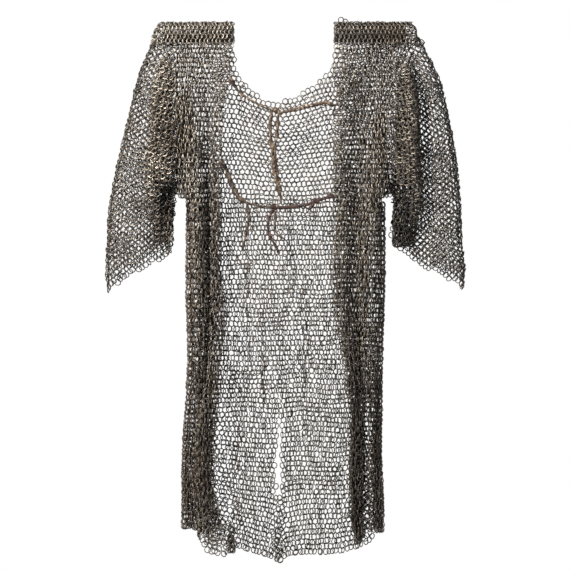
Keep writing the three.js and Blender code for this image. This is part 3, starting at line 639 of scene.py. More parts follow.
rightFrontLevels = table('z rollX rollY edgeX edgeY crestX crestY dipX dipY pleatX pleatY', (
    (-17, 85, -17.5, 84, -17.5, 104, -17.5, 126, -17.5, 150, -17.5),
    (-77, 84, -17, 83, -18, 100, -20, 124, -16, 150, -20),
    (-125, 84, -17, 83, -18, 99, -21, 124, -15, 151, -22),
    (-200, 84, -16, 83, -18, 98, -22, 122, -13, 150, -27),
    (-262, 84, -16, 83, -18, 97, -22, 121, -12, 148, -29),
    (-284, 84, -16, 83, -18, 97, -22, 121, -12, 147, -29),
    (-415, 86, -15, 83, -18, 97, -24, 119, -11, 139, -27),
    (-474, 97, -14, 89, -18, 103, -25, 121, -12, 139, -26),
    (-535, 112, -13, 99, -18, 112, -27, 126, -15, 140, -25),
    (-610, 123, -12, 107, -19, 121, -28, 131, -16, 142, -24),
    (-650, 128, -11, 112, -19, 124, -28, 132, -16, 142, -24),
    (-790, 128, -10, 112, -18, 124, -27, 134, -15, 144, -22),
    (-836, 128, -10, 121, -17, 128, -24, 136, -15, 145, -20),
))
leftFrontHem = table('at z', (
    (0, -848), (0.3, -861), (0.62, -857), (0.8, -838), (0.9, -818), (1, -817),
))
rightFrontHem = table('at z', (
    (0, -836), (0.2, -843), (0.4, -828), (0.7, -818), (1, -823),
))
leftSleeveLevels = table('z innerX bulgeX bulgeY ridgeX ridgeY hollowX hollowY outerX depth', (
    (-17, 178, 186, -17.4, 194, -17.4, 202, -17.2, 221, 17),
    (-50, 178, 188, -21, 200, -23, 212, -19, 234, 17),
    (-90, 178, 190, -25, 208, -30, 218, -18, 246, 17),
    (-140, 178, 189, -28, 213, -34, 220, -17, 258, 17),
    (-200, 178, 188, -30, 218, -35, 226, -17, 272, 18),
    (-236, 178, 189, -28, 219, -34, 228, -17, 280, 18),
    (-262, 178, 190, -9, 217, -30, 229, -18, 285, 19),
    (-285, 181, 189, -6, 212, -26, 228, -19, 289, 19),
    (-334, 185, 189, -8, 206, -19, 230, -19, 292, 19),
    (-395, 188, 190, -10, 204, -18, 236, -19, 294, 17),
    (-440, 189, 191, -9, 205, -15, 240, -15, 290, 12),
))
rightSleeveLevels = table('z innerX bulgeX bulgeY ridgeX ridgeY hollowX hollowY outerX depth', (
    (-17, 178, 188, -17.4, 198, -17.4, 208, -17.2, 231, 17),
    (-50, 178, 190, -20, 204, -22, 216, -17, 246, 17),
    (-90, 178, 192, -23, 211, -29, 222, -11, 262, 17),
    (-140, 178, 192, -26, 213, -34, 225, -8, 273, 18),
    (-200, 178, 193, -29, 214, -35, 228, -7, 284, 18),
    (-236, 178, 193, -26, 216, -33, 232, -7, 288, 19),
    (-262, 178, 192, -9, 217, -29, 236, -8, 290, 19),
    (-285, 181, 190, -6, 216, -27, 237, -9, 292, 19),
    (-334, 176, 183, -9, 202, -22, 224, -10, 294, 19),
    (-395, 174, 180, -9, 196, -16, 216, -11, 299, 17),
    (-440, 174, 180, -9, 196, -13, 216, -11, 295, 12),
))
leftCuff = table('at z', (
    (0, -366), (0.5, -396), (1, -431),
))
rightCuff = table('at z', (
    (0, -347), (0.2, -366), (0.4, -384), (0.7, -403), (1, -426),
))
leftShoulderEnd = table('x top', (
    (203, 17.1), (209, 11), (214, 0), (217.5, -8),
))
rightShoulderEnd = table('x top', (
    (209, 17.1), (214, 12), (218, 3), (221, -7),
))
neckline = table('x z', (
    (-84, -17.3), (-81, -44), (-73, -68), (-56, -90), (-31, -106), (-13, -111), (10, -105),
    (43, -85), (62, -71), (76, -57), (82, -40), (84, -17.3),
))
backFolds = table('x halfWidth depth top bottom', (
    (-81, 16, 6, -380, -900), (-30, 22, -4, -330, -800), (34, 24, 4, -420, -900),
    (74, 20, -4, -260, -880), (-128, 20, -4, -120, -700), (126, 18, 5, -90, -760),
))
ventEdges = table('z left right lap', (
    (-623, -10, -9.4, 0), (-671, -12, -4.5, 0), (-700, -18, -5.5, 0), (-728, -15, -7, 0.2),
    (-757, -12, -9, 0.8), (-785, -8, -12, 1), (-840, -5, -16, 1), (-900, -5, -14, 1),
))
backHem = table('x z', (
    (-155, -817), (-140, -826), (-120, -840), (-84, -851), (-48, -861), (-20, -869), (-8, -880),
    (4, -866), (31, -862), (82, -858), (122, -851), (140, -838), (155, -823),
))
cloth = {
    "wall": 3.2, "gap": 0.3, "overBar": 17.2, "top": -17.3, "armhole": 178, "armpit": -262,
    "sideTop": -279, "ventTop": -623, "underarmClosing": 24, "backY": 17.1, "lapDepth": 3.2,
    "lapReach": 40, "neckHalf": 84,
    "frontEnd": -880, "sideEnd": -840, "backEnd": -640, "skirtTop": -600, "skirtEnd": -900,
    "sleeveEnd": -440,               # where each surface ends, past its hem
}


def backDepth(x, z):
    y = np.full(np.shape(x + z), cloth["backY"], float)
    for k in range(len(backFolds["x"])):
        fold = {name: values[k] for name, values in backFolds.items()}
        along = np.clip((fold["top"] - z) / (fold["top"] - fold["bottom"]), 0, 1)
        across = np.exp(-((x - fold["x"]) / fold["halfWidth"]) ** 2)
        y = y + fold["depth"] * across * np.sin(math.pi * along)
    return y


def frontSurface(side, levels, sides):
    def cornersAt(z):
        names = ("roll", "edge", "crest", "dip", "pleat")
        corners = [(side * levelAt(levels, n + "X", z), levelAt(levels, n + "Y", z)) for n in names]
        seam = smoothStep(-z, -cloth["armpit"], -cloth["sideTop"])
        seamX = cloth["armhole"] + (levelAt(sides, "frontX", z) - cloth["armhole"]) * seam
        upperY = levelAt(armholeFront, "y", z)
        seamY = upperY + (levelAt(sides, "frontY", z) - upperY) * seam
        return corners + [(side * seamX, seamY)]
    return makeSurface(cornersAt, cloth["top"], cloth["frontEnd"])


def sideSurface(side, sides):
    def cornersAt(z):
        frontX, backX = levelAt(sides, "frontX", z), levelAt(sides, "backX", z)
        frontY, backY = levelAt(sides, "frontY", z), float(backDepth(side * backX, z))
        corners = []
        for turn in np.linspace(-math.pi / 2, math.pi / 2, 9):
            share = (1 + math.sin(turn)) / 2
            seamX = frontX + (backX - frontX) * share
            bulge = (levelAt(sides, "outX", z) - cloth["wall"] / 2 - seamX) * math.cos(turn)
            corners.append((side * (seamX + bulge), frontY + (backY - frontY) * share))
        return corners
    return makeSurface(cornersAt, cloth["sideTop"], cloth["sideEnd"])


def backSurface():
    def cornersAt(z):
        seam = smoothStep(-z, -cloth["armpit"], -cloth["sideTop"])
        left, right = (cloth["armhole"] + (levelAt(sides, "backX", z) - cloth["armhole"]) * seam
                       for sides in (leftSideLevels, rightSideLevels))
        x = np.linspace(-left, right, 41)
        return np.column_stack([x, backDepth(x, z)])
    return makeSurface(cornersAt, cloth["top"], cloth["backEnd"])


def skirtSurface(side, sides):
    def cornersAt(z):
        vent = straightAt(ventEdges, "z", "left" if side < 0 else "right", z)
        lap = straightAt(ventEdges, "z", "lap", z) * side * cloth["lapDepth"]
        x = np.linspace(side * levelAt(sides, "backX", z), vent, 21)
        y = backDepth(x, z) + lap * np.exp(-((x - vent) / cloth["lapReach"]) ** 2)
        return np.column_stack([x, y])
    return makeSurface(cornersAt, cloth["skirtTop"], cloth["skirtEnd"])


def sleeveSurface(side, levels):
    def cornersAt(z):
        at = {name: float(levelAt(levels, name, z)) for name in levels if name != "z"}
        closing = smoothStep(cloth["armpit"] - z, 0, cloth["underarmClosing"])
        closed = (cloth["wall"] + cloth["gap"]) / 2
        frontEdge = float(levelAt(armholeFront, "y", max(z, cloth["armpit"])))
        backEdge = float(backDepth(side * cloth["armhole"], z))
        front = frontEdge + (-closed - frontEdge) * closing
        back = backEdge + (closed - backEdge) * closing
        inner, depth = at["innerX"] + cloth["gap"], at["depth"]
        outer = at["outerX"] - cloth["wall"] / 2
        flat, corner = outer - depth, depth * math.sqrt(0.5)
        corners = ((inner, front), (at["bulgeX"], at["bulgeY"]), (at["ridgeX"], at["ridgeY"]),
                   (at["hollowX"], at["hollowY"]), (flat, -depth), (flat + corner, -corner),
                   (outer, 0), (flat + corner, corner), (flat, depth),
                   ((flat + inner) / 2, depth + 1.5), (inner + 9, back + (depth - back) * 0.6),
                   (inner, back))
        return [(side * x, y) for x, y in corners]
    return makeSurface(cornersAt, cloth["top"], cloth["sleeveEnd"])


# Rings are laid in the pattern of four-in-one mail, each over two above and two below it, and
# turn edge-on where it is crowded. They aren't truly threaded: most cut through a neighbour.
ring = {"radius": 4.85, "wire": 0.95, "segments": 9, "hiddenSegments": 7, "sides": 3,
        "lapWidth": 1.3, "lapThin": 0.8, "lapReach": 0.94, "kinds": 4, "hiddenKinds": 2}
weave = {
    "rowDrop": 7.91, "turnSpread": 8.5, "placeSpread": 0.30, "sizeSpread": 0.025,
    "yawByPitch": ((3.4, 68), (4.4, 54), (5.4, 40), (6.2, 31), (7.2, 22), (8.0, 14), (10.4, 4)),
    "leanByGap": ((3.2, 52), (4.4, 34), (6.2, 10), (8.0, 3)),
    "crowdedPitch": 5.2, "crowdedGap": 5.6, "crowdedOver": 1.5, "toneSpread": 0.35,
}
chance = random.Random(20)


def makeRingKinds():
    kinds = bpy.data.collections.new("ringKinds")
    scene.collection.children.link(kinds)
    for k in range(ring["kinds"] + ring["hiddenKinds"]):
        deselectAll()
        hidden = k >= ring["kinds"]
        bpy.ops.mesh.primitive_torus_add(
            major_segments=ring["hiddenSegments"] if hidden else ring["segments"],
            minor_segments=ring["sides"],
            major_radius=ring["radius"] * metre, minor_radius=ring["wire"] * metre)
        link = bpy.context.object
        link.name = f"ringKind{k}"
        lap = math.radians(25 + 90 * k)
        middle = Vector((math.cos(lap), math.sin(lap), 0))
        editMesh(False)
        endEdit()
        for vertex in link.data.vertices:
            vertex.select = vertex.co.normalized().dot(middle) > ring["lapReach"]
        bpy.ops.object.mode_set(mode="EDIT")
        bpy.ops.transform.resize(
            value=(ring["lapWidth"], ring["lapWidth"], ring["lapThin"]),
            center_override=middle * ring["radius"] * metre)      # the flattened lap
        endEdit()
        crossing = link.data.attributes.new("crossing", "FLOAT", "POINT")
        crossing.data.foreach_set("value", [
            abs(v.co.y) / (ring["radius"] * metre) for v in link.data.vertices])
        bpy.ops.object.shade_smooth()
        scene.collection.objects.unlink(link)
        kinds.objects.link(link)
    return kinds


ringValues = {                       # what each ring's point carries
    "ringTurn": ("QUATERNION", "turn"), "ringKind": ("INT", "kind"),
    # ringTone carries a random tone together with painted light and shade
    "ringSize": ("FLOAT", "size"), "ringTone": ("FLOAT", "tone"),
}


def namedValue(tree, name):
    node = addNode(tree, "GeometryNodeInputNamedAttribute", {"Name": name},
                   data_type=ringValues[name][0])
    return next(out for out in node.outputs if out.enabled and out.name == "Attribute")


def makeMailTree(kinds, material):
    tree = bpy.data.node_groups.new("laidMail", "GeometryNodeTree")
    tree.interface.new_socket("Geometry", in_out="INPUT", socket_type="NodeSocketGeometry")
    tree.interface.new_socket("Geometry", in_out="OUTPUT", socket_type="NodeSocketGeometry")
    start = tree.nodes.new("NodeGroupInput")
    rings = addNode(tree, "GeometryNodeCollectionInfo", {
        "Collection": kinds, "Separate Children": True, "Reset Children": True,
    })
    place = addNode(tree, "GeometryNodeInstanceOnPoints", {
        "Points": start.outputs[0], "Instance": rings.outputs[0], "Pick Instance": True,
        "Instance Index": namedValue(tree, "ringKind"), "Rotation": namedValue(tree, "ringTurn"),
        "Scale": namedValue(tree, "ringSize"),
    })
    joined = addNode(tree, "GeometryNodeRealizeInstances", {0: place.outputs[0]})
    finish = addNode(tree, "GeometryNodeSetMaterial", {
        "Geometry": joined.outputs[0], "Material": material,
    })
    end = tree.nodes.new("NodeGroupOutput")
    tree.links.new(finish.outputs[0], end.inputs[0])
    return tree


ringKinds = makeRingKinds()
mailTree = makeMailTree(ringKinds, mailIron)


# Where painted light and shade go on the rings, as distances out, down, forward and back: painted
# highlight on the forward folds, painted shade in the hollows, under the arm, in tucked places and
# lower down, a darker strip on the right front, and a cloudy random tone
paintedLightPlaces = {
    "folds": {"forward": (19, 31), "down": (120, 480), "fade": 0.65, "rightEnd": (380, 560),
              "amount": 0.6, "sleeveFrom": (160, 185), "sleeveChange": 0.28},
    "hollows": {"back": ((-15, -9), (0, 5)), "down": (50, 120), "out": ((195, 212), (232, 250)),
                "amount": 0.45},
    "underarm": {"out": ((172, 180), (203, 214)), "slant": 0.9, "down": (232, 252),
                 "leftEnd": 284, "rightEnd": 350, "fade": (-15, 25), "amount": 0.7,
                 "rightMore": 0.2},
    "tucked": {"out": ((149, 154), (162, 170)), "down": ((276, 282), (300, 325))},
    "rightEdge": {"out": ((104, 108), (122, 127)), "down": (520, 600), "forward": (12, 16),
                  "amount": 0.3},
    # lower is painted shade, darker towards the bottom; clouds is a random cloudy tone
    "lower": {"down": (200, 560), "amount": 0.04}, "clouds": (0.15, 80),
}


def between(value, rise, fall):
    return smoothStep(value, *rise) * (1 - smoothStep(value, *fall))


# Each ring's tone: painted highlight minus painted shade, plus a cloudy random tone
def paintedLightAndCloudyTone(place):
    x, y, z = place.T
    out, right = np.abs(x), x > 0
    folds, hollows, arm = paintedLightPlaces["folds"], paintedLightPlaces["hollows"], paintedLightPlaces["underarm"]
    tuck, edge, lower = paintedLightPlaces["tucked"], paintedLightPlaces["rightEdge"], paintedLightPlaces["lower"]
    faded = folds["fade"] * smoothStep(-z, *folds["down"])
    foldHighlight = smoothStep(-y, *folds["forward"]) * (1 - faded)
    foldHighlight = foldHighlight * (1 - right * smoothStep(-z, *folds["rightEnd"]))
    # The left sleeve gets more painted highlight than the right, as if lit from the left
    sleeveSide = smoothStep(out, *folds["sleeveFrom"]) * np.sign(-x)
    paintedHighlight = (folds["amount"] + folds["sleeveChange"] * sleeveSide) * foldHighlight
    # Painted shade in the sleeve hollows; below it, painted shade under the arm and in the tucked
    # places
    hollowShade = between(y, *hollows["back"]) * smoothStep(-z, *hollows["down"])
    hollowShade = hollowShade * between(out, *hollows["out"])
    slanted = -z - arm["slant"] * (out - cloth["armhole"])
    end = np.where(right, arm["rightEnd"], arm["leftEnd"])
    dark = between(out, *arm["out"]) * smoothStep(slanted, *arm["down"])
    dark = dark * (1 - smoothStep(-z - end, *arm["fade"]))
    dark = np.maximum(dark, between(-x, *tuck["out"]) * between(-z, *tuck["down"]))
    # A darker strip on the lower right front
    rightEdgeDarker = between(x, *edge["out"]) * smoothStep(-z, *edge["down"])
    rightEdgeDarker = rightEdgeDarker * smoothStep(-y, *edge["forward"])
    paintedShade = hollows["amount"] * hollowShade + (arm["amount"] + arm["rightMore"] * right) * dark
    paintedShade = paintedShade + edge["amount"] * rightEdgeDarker + lower["amount"] * smoothStep(-z, *lower["down"])
    return paintedHighlight * (1 - dark) - paintedShade + waviness(place, *paintedLightPlaces["clouds"])


# Rings at the given shares of the way round and heights, turned to lie in the cloth. Crowded
# rings turn edge-on: by yaw where they crowd along the row, by lean where the rows crowd.
def layRings(at, f, z, odd, pitch, gap, along=False, hidden=False, tone=0.0, mess=1.0,
             slide=0.4):
    stepF, stepZ = 0.004, 1.5        # how far off the cloth's slope is felt
    here = at(f, z)
    across = at(np.clip(f + stepF, 0, 1), z) - at(np.clip(f - stepF, 0, 1), z)
    down = at(f, z - stepZ) - at(f, z + stepZ)
    if along:
        across, down = down, across
    across /= np.linalg.norm(across, axis=1)[:, None]
    out = np.cross(across, down)
    out /= np.maximum(np.linalg.norm(out, axis=1), 1e-9)[:, None]
    up = np.cross(out, across)
    yaw = np.interp(pitch, *zip(*weave["yawByPitch"]))
    lean = np.interp(gap, *zip(*weave["leanByGap"]))
    placeSpread = weave["placeSpread"] * mess
    slides = np.broadcast_to(slide, len(here))
    # Tone: the given tone and, for rings not hidden, painted light and shade with a cloudy random tone
    tones = np.broadcast_to(tone + (0 if hidden else paintedLightAndCloudyTone(here)), len(here))
    crowding = (np.clip((weave["crowdedPitch"] - pitch) / weave["crowdedOver"], 0, 1)
                + np.clip((weave["crowdedGap"] - gap) / weave["crowdedOver"], 0, 1))
    rings = []
    for k in range(len(here)):
        sign = -1 if odd[k] else 1
        turnSpread = weave["turnSpread"] * (mess + crowding[k])
        turn = Matrix((across[k], up[k], out[k])).transposed()
        turn = turn @ Matrix.Rotation(
            math.radians(sign * lean[k] + chance.gauss(0, turnSpread)), 3, "X")
        turn = turn @ Matrix.Rotation(
            math.radians(sign * yaw[k] + chance.gauss(0, turnSpread)), 3, "Y")
        shift = Vector([chance.gauss(0, placeSpread) for _ in range(3)])
        shift += Vector(across[k]) * chance.gauss(0, slides[k])
        kind = chance.randrange(ring["kinds"])
        if hidden:
            kind = ring["kinds"] + kind % ring["hiddenKinds"]
        rings.append({
            "place": Vector(here[k]) + shift, "turn": turn.to_quaternion(), "kind": kind,
            "tone": float(tones[k]) + weave["toneSpread"] * chance.random(),
            "size": 1 + chance.gauss(0, weave["sizeSpread"]),
        })
    return rings


def makeMail(name, rings, replaced):
    points = bpy.data.meshes.new(name)
    points.from_pydata([link["place"] * metre for link in rings], [], [])
    for key, (kind, part) in ringValues.items():
        values = np.array([link[part] for link in rings])
        points.attributes.new(key, kind, "POINT").data.foreach_set("value", values.ravel())
    piece = bpy.data.objects.new(name, points)
    scene.collection.objects.link(piece)
    laid = piece.modifiers.new("laid", "NODES")
    laid.node_group = mailTree
    applyModifiers(piece)
    finishPiece(piece, name, mailIron)
    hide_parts(*replaced)
    return piece


ringCount = 0


def crowdedShares(columns, odd, crowd):       # shares across, closer where crowd is greater
    place, amount = (np.array(column, float) for column in zip(*crowd))
    fine = np.linspace(0, 1, 201)
    total = np.concatenate([[0], np.cumsum(np.interp((fine[1:] + fine[:-1]) / 2, place, amount))])
    wanted = (np.arange(columns) + 0.25 + 0.5 * odd) / columns
    return np.interp(wanted, total / total[-1], fine)


# Rows run level round the body. Each panel keeps its number of columns from top to hem, so
# the rings stand closer where it is narrow. Rows are numbered from the shoulder.
rowZero = cloth["top"] - weave["rowDrop"] / 2
rowTotal = 106
lastLevel = rowZero - (rowTotal - 1) * weave["rowDrop"]
hemReach = 5.6                       # from the last ring's centre to the hem
evenCrowd = ((0, 1), (1, 1))
rowDrift = {                         # sizes with their reaches, and where each begins
    "upDown": ((4.2, 65), (1.9, 20)), "aside": ((2.6, 55), (1.3, 17)), "hemFrom": 640,
    "looseBelow": 6.4, "looseOver": 2, "looseMost": 2.2, "slideFrom": 180, "slideTo": 400,
    "slideAtEdge": 0.35, "edgeReach": (2, 14),
}


def bodyRows(surface, first, last, columns, hemDrop, sag=None, spread=None, crowd=evenCrowd,
             lowCrowd=None, edges=(0, 0), seed=0.0, slide=(0.5, 0.5), **finish):
    rings = []
    slow, quick = rowDrift["upDown"]
    slowAside, quickAside = rowDrift["aside"]
    edgeSlide = rowDrift["slideAtEdge"]
    for j in range(first, last):
        odd = j % 2
        level = rowZero - j * weave["rowDrop"]
        width = widthAt(surface, level)
        f = crowdedShares(columns, odd, crowd)
        if lowCrowd is not None:
            lowF = crowdedShares(columns, odd, lowCrowd["crowd"])
            f += (lowF - f) * smoothStep(-level, lowCrowd["from"], lowCrowd["to"])
        f = edges[0] / width + f * (1 - sum(edges) / width)
        if spread is not None:
            f = spread(f, level)
        z = np.full(columns, level)
        x = onSurface(surface, f, z)[:, 0]
        z = z + hemDrop(f, x) * smoothStep(-level, rowDrift["hemFrom"], -lastLevel)
        gap = np.full(columns, weave["rowDrop"])
        if sag is not None:
            z = z - sag(x, level)
            gap = gap - sag(x, level) + sag(x, level - weave["rowDrop"])
        probe = np.column_stack([x, np.full(columns, seed), z])
        z = z + waviness(probe, *slow) + waviness(probe + 500, *quick)
        pitch = np.gradient(f) * width
        crowded = np.clip((rowDrift["looseBelow"] - pitch) / rowDrift["looseOver"], 0, 1)
        loose = 1 + rowDrift["looseMost"] * crowded
        aside = waviness(probe + 900, *slowAside) + waviness(probe + 700, *quickAside) * loose
        f = np.clip(f + aside / width, 0.002, 0.998)
        lower = smoothStep(-level, rowDrift["slideFrom"], rowDrift["slideTo"])
        inside = smoothStep(np.minimum(f, 1 - f) * width, *rowDrift["edgeReach"])
        slideNow = slide[0] + (slide[1] - slide[0]) * lower
        slideNow = slideNow * (edgeSlide + (1 - edgeSlide) * inside)
        rings += layRings(partial(onSurface, surface), f, z, np.full(columns, odd), pitch, gap,
                          slide=slideNow, **finish)
    return rings


def rowAt(z):
    return int(round((rowZero - z) / weave["rowDrop"]))


# A folded length is spare mail tucked under a panel, laid back and forth between two lines.
def foldedSurface(side, levels, layers):
    def cornersAt(z):
        inner = np.interp(-z, -levels["z"], levels["inner"])
        outer = np.interp(-z, -levels["z"], levels["outer"])
        drift = 4 * noise.noise(Vector((inner, side, z / 40)))
        return [(side * (inner + drift * (1 - share) + (outer - inner) * share), y)
                for share, y in layers]
    return makeSurface(cornersAt, cloth["top"], cloth["frontEnd"])


# The tucked rings are darkened by tone as painted shade; lifted eases that painted shade below
# liftedDown
tuckedAway = {"tone": -0.33, "mess": 1.8, "firstShare": 0.1, "grown": 60, "lifted": 0,
              "liftedDown": (285, 315)}


def noDrop(f, x):
    return np.zeros(len(f))


def foldedRings(side, folded, seed):
    folded = {**tuckedAway, **folded}
    surface = foldedSurface(side, folded["levels"], folded["layers"])
    top, bottom = folded["levels"]["z"][0], folded["levels"]["z"][-1]
    rings = bodyRows(surface, rowAt(top), rowAt(bottom), folded["columns"], noDrop, seed=seed,
                     hidden=True, tone=folded["tone"], mess=folded["mess"])
    for link in rings:
        shown = float(smoothStep(-link["place"].z, *folded["liftedDown"]))
        link["tone"] += folded["lifted"] * shown
    return [link for link in rings if chance.random()
            < folded["firstShare"] + (top - link["place"].z) / folded["grown"]]


edgeLayers = ((0, -11), (0.45, -10), (0.9, -7), (1, -3), (0.9, 1), (0.45, 3), (0.06, 4))
bunchEnd = ((0, -14), (1, -11), (0, -8), (1, -5), (0, -2))
tuckLayers = ((0, -15), (0.5, -13), (0.95, -10), (1, -6), (0.5, -3), (0.05, 0), (0.05, 3),
              (0.5, 5), (1, 6))
seamLayers = ((0, -9), (1, -5), (0.1, -1), (1, 3), (0, 7))
fronts = {
    "mailFrontLeft": {
        "side": -1, "levels": leftFrontLevels, "sides": leftSideLevels, "hem": leftFrontHem,
        "node": "left_front",
        "lowCrowd": {"from": 805, "to": 832, "crowd": ((0, 1), (0.7, 1), (0.82, 2.6), (1, 2.6))},
        "folded": (
            {"columns": 12, "layers": edgeLayers, "grown": 150, "levels": table('z inner outer', (
                (-170, 114, 134), (-236, 108, 134), (-300, 106, 138), (-420, 105, 137),
                (-600, 115, 144), (-664, 122, 144), (-770, 119, 146), (-800, 108, 144),
                (-822, 100, 140)))},
            {"columns": 5, "layers": bunchEnd, "levels": table('z inner outer', (
                (-792, 86, 92), (-857, 82, 89)))},
            {"columns": 14, "layers": tuckLayers, "levels": table('z inner outer', (
                (-84, 160, 172), (-150, 150, 175), (-220, 144, 176), (-262, 142, 176),
                (-270, 140, 158), (-300, 138, 151)))},
        ),
    },
    "mailFrontRight": {
        "side": 1, "levels": rightFrontLevels, "sides": rightSideLevels, "hem": rightFrontHem,
        "node": "right_front",
        "lowCrowd": {"from": 600, "to": 680,
                     "crowd": ((0, 1.7), (0.40, 1.7), (0.50, 0.6), (1, 0.6))},
        "folded": (
            {"columns": 16, "layers": edgeLayers, "grown": 330, "levels": table('z inner outer', (
                (-50, 92, 136), (-196, 88, 134), (-280, 86, 136), (-420, 86, 138),
                (-535, 104, 132), (-610, 111, 127), (-650, 111, 125), (-790, 111, 125),
                (-836, 118, 128)))},
            {"columns": 12, "layers": tuckLayers, "levels": table('z inner outer', (
                (-110, 156, 168), (-200, 143, 168), (-262, 140, 174), (-270, 138, 158),
                (-300, 136, 151)))},
            {"columns": 8, "layers": seamLayers, "grown": 120, "levels": table('z inner outer', (
                (-560, 152, 159), (-690, 150, 157), (-820, 153, 161)))},
        ),
    },
}


frontWeave = {"columns": 17, "crowd": ((0, 1), (0.35, 0.9), (0.6, 1.5), (1, 1.4)),
              "edges": (1.5, 0), "seed": -20.0, "mess": 1.5, "slide": (1.5, 1.6)}


def makeFront(name, front):
    def hemDrop(f, x):
        return straightAt(front["hem"], "at", "z", f) + hemReach - lastLevel

    surface = frontSurface(front["side"], front["levels"], front["sides"])
    rings = bodyRows(surface, 0, rowTotal, hemDrop=hemDrop, lowCrowd=front["lowCrowd"],
                     **frontWeave)
    for seed, folded in enumerate(front["folded"]):
        rings += foldedRings(front["side"], folded, 60.0 + seed)
    makeMail(name, rings, [front["node"]])
    return len(rings)


gussets = {
    "mailSideLeft": {"side": -1, "sides": leftSideLevels, "hem": -817, "node": "left_side"},
    "mailSideRight": {"side": 1, "sides": rightSideLevels, "hem": -823, "node": "right_side"},
}
gussetColumns = 9


def makeGusset(name, gusset):
    def hemDrop(f, x):
        return np.full(len(f), gusset["hem"] + hemReach - lastLevel)

    surface = sideSurface(gusset["side"], gusset["sides"])
    first = rowAt(cloth["sideTop"] - 3)
    rings = bodyRows(surface, first, rowTotal, gussetColumns, hemDrop)
    makeMail(name, rings, [gusset["node"]])
    return len(rings)


neckDip = {"depth": 30, "middle": -4, "halfWidth": 66, "fadesDown": (20, 330)}


def neckSag(x, z):                   # the back hangs from the shoulders, so its rows dip
    fade = 1 - smoothStep(-z, *neckDip["fadesDown"])
    return neckDip["depth"] * np.exp(
        -((x - neckDip["middle"]) / neckDip["halfWidth"]) ** 2) * fade


gathers = table('at halfWidth draw top bottom', (      # places along the width, as shares
    (0.385, 0.035, 0.022, -430, -700), (0.30, 0.04, 0.018, -330, -560),
    (0.61, 0.05, 0.021, -380, -700), (0.53, 0.04, 0.014, -240, -420),
))


opening = {"amount": 0.30, "fadesDown": (150, 430)}


def backSpread(f, level):            # spread open under the neckline and gathered lower down
    opened = 1 - smoothStep(-level, *opening["fadesDown"])
    centred = 2 * f - 1
    f = 0.5 + centred * (1 + opening["amount"] * opened * (1 - np.abs(centred))) / 2
    for k in range(len(gathers["at"])):
        fold = {name: values[k] for name, values in gathers.items()}
        length = np.clip((fold["top"] - level) / (fold["top"] - fold["bottom"]), 0, 1)
        reach = (f - fold["at"]) / fold["halfWidth"]
        f = f - fold["draw"] * math.sin(math.pi * length) * reach * np.exp(-reach ** 2)
    return f


def backHemDrop(f, x):
    return straightAt(backHem, "x", "z", x) + hemReach - lastLevel


back = {"columns": 54, "seed": 20.0, "mess": 1.25, "slide": (0.3, 1.2), "aside": 3,
        "below": 4.6, "halfWay": -330}


def underNeckline(place):
    line = np.interp(place.x, neckline["x"], neckline["z"])
    return abs(place.x) > cloth["neckHalf"] + back["aside"] or place.z < line - back["below"]


def makeBack():
    surface = backSurface()
    last = rowAt(cloth["ventTop"])
    rings = bodyRows(surface, 0, last, back["columns"], backHemDrop, neckSag, backSpread,
                     seed=back["seed"], mess=back["mess"], slide=back["slide"])
    kept = [link for link in rings if underNeckline(link["place"])]
    upper = [link for link in kept if link["place"].z > back["halfWay"]]
    lower = [link for link in kept if link["place"].z <= back["halfWay"]]
    makeMail("mailBackUpper", upper, ["back"])
    makeMail("mailBackLower", lower, [])
    return len(kept)


skirts = {
    "mailSkirtLeft": {"side": -1, "sides": leftSideLevels, "columns": 26, "edges": (0, 0),
                      "crowd": ((0, 1.4), (0.18, 1.4), (0.25, 0.72), (0.42, 0.72), (0.5, 1.1),
                                (1, 1.0)), "node": "back_skirt_left"},
    "mailSkirtRight": {"side": 1, "sides": rightSideLevels, "columns": 28, "edges": (0, 2.4),
                       "crowd": evenCrowd, "node": "back_skirt_right"},
}


def makeSkirt(name, skirt):
    surface = skirtSurface(skirt["side"], skirt["sides"])
    first = rowAt(cloth["ventTop"])
    rings = bodyRows(surface, first, rowTotal, skirt["columns"], backHemDrop,
                     edges=skirt["edges"], crowd=skirt["crowd"], seed=back["seed"],
                     mess=back["mess"], slide=(back["slide"][1],) * 2)
    makeMail(name, rings, [skirt["node"]])
    return len(rings)


bunchLayers = ((1, -15), (0.5, -14), (0.05, -11), (0.05, -8), (0.5, -6), (0.95, -5), (1, -1),
               (0.5, 1), (0.05, 3), (0.05, 7), (0.5, 9), (0.9, 10))
sleeves = {
    "mailSleeveLeft": {
        "side": -1, "levels": leftSleeveLevels, "cuff": leftCuff, "node": "left_sleeve",
        "frontRise": 17, "folded": {
            "columns": 20, "layers": bunchLayers, "lifted": 0.6, "levels": table('z inner outer', (
                (-40, 184, 200), (-100, 182, 211), (-200, 181, 220), (-262, 183, 222),
                (-345, 187, 212)))},
    },
    "mailSleeveRight": {
        "side": 1, "levels": rightSleeveLevels, "cuff": rightCuff, "node": "right_sleeve",
        "frontRise": 11, "folded": {
            "columns": 20, "layers": bunchLayers, "levels": table('z inner outer', (
                (-50, 190, 210), (-110, 186, 218), (-200, 182, 222), (-270, 182, 224),
                (-350, 182, 212)))},
    },
}
sleeveWeave = {
    "pitch": 9.9, "behindPitch": 0.93, "row": 6.1, "bunchedRow": 4.7, "behindRow": 0.11,
    "bunchedUpper": 0.35, "bunchedDown": (20, 90), "bunchedOut": (-6, 8), "behind": (0.02, 0.12),
    "rows": (-40, 30), "rings": (-8, 60), "columns": 96, "cuffEdge": 4.8,
    "riseOut": ((0.05, 0.15), (0.80, 0.97)), "drift": (2.2, 45), "aside": (2.2, 40),
    "turnPitch": 8.0, "mess": 1.1, "slide": 0.7, "seed": 90.0,
}


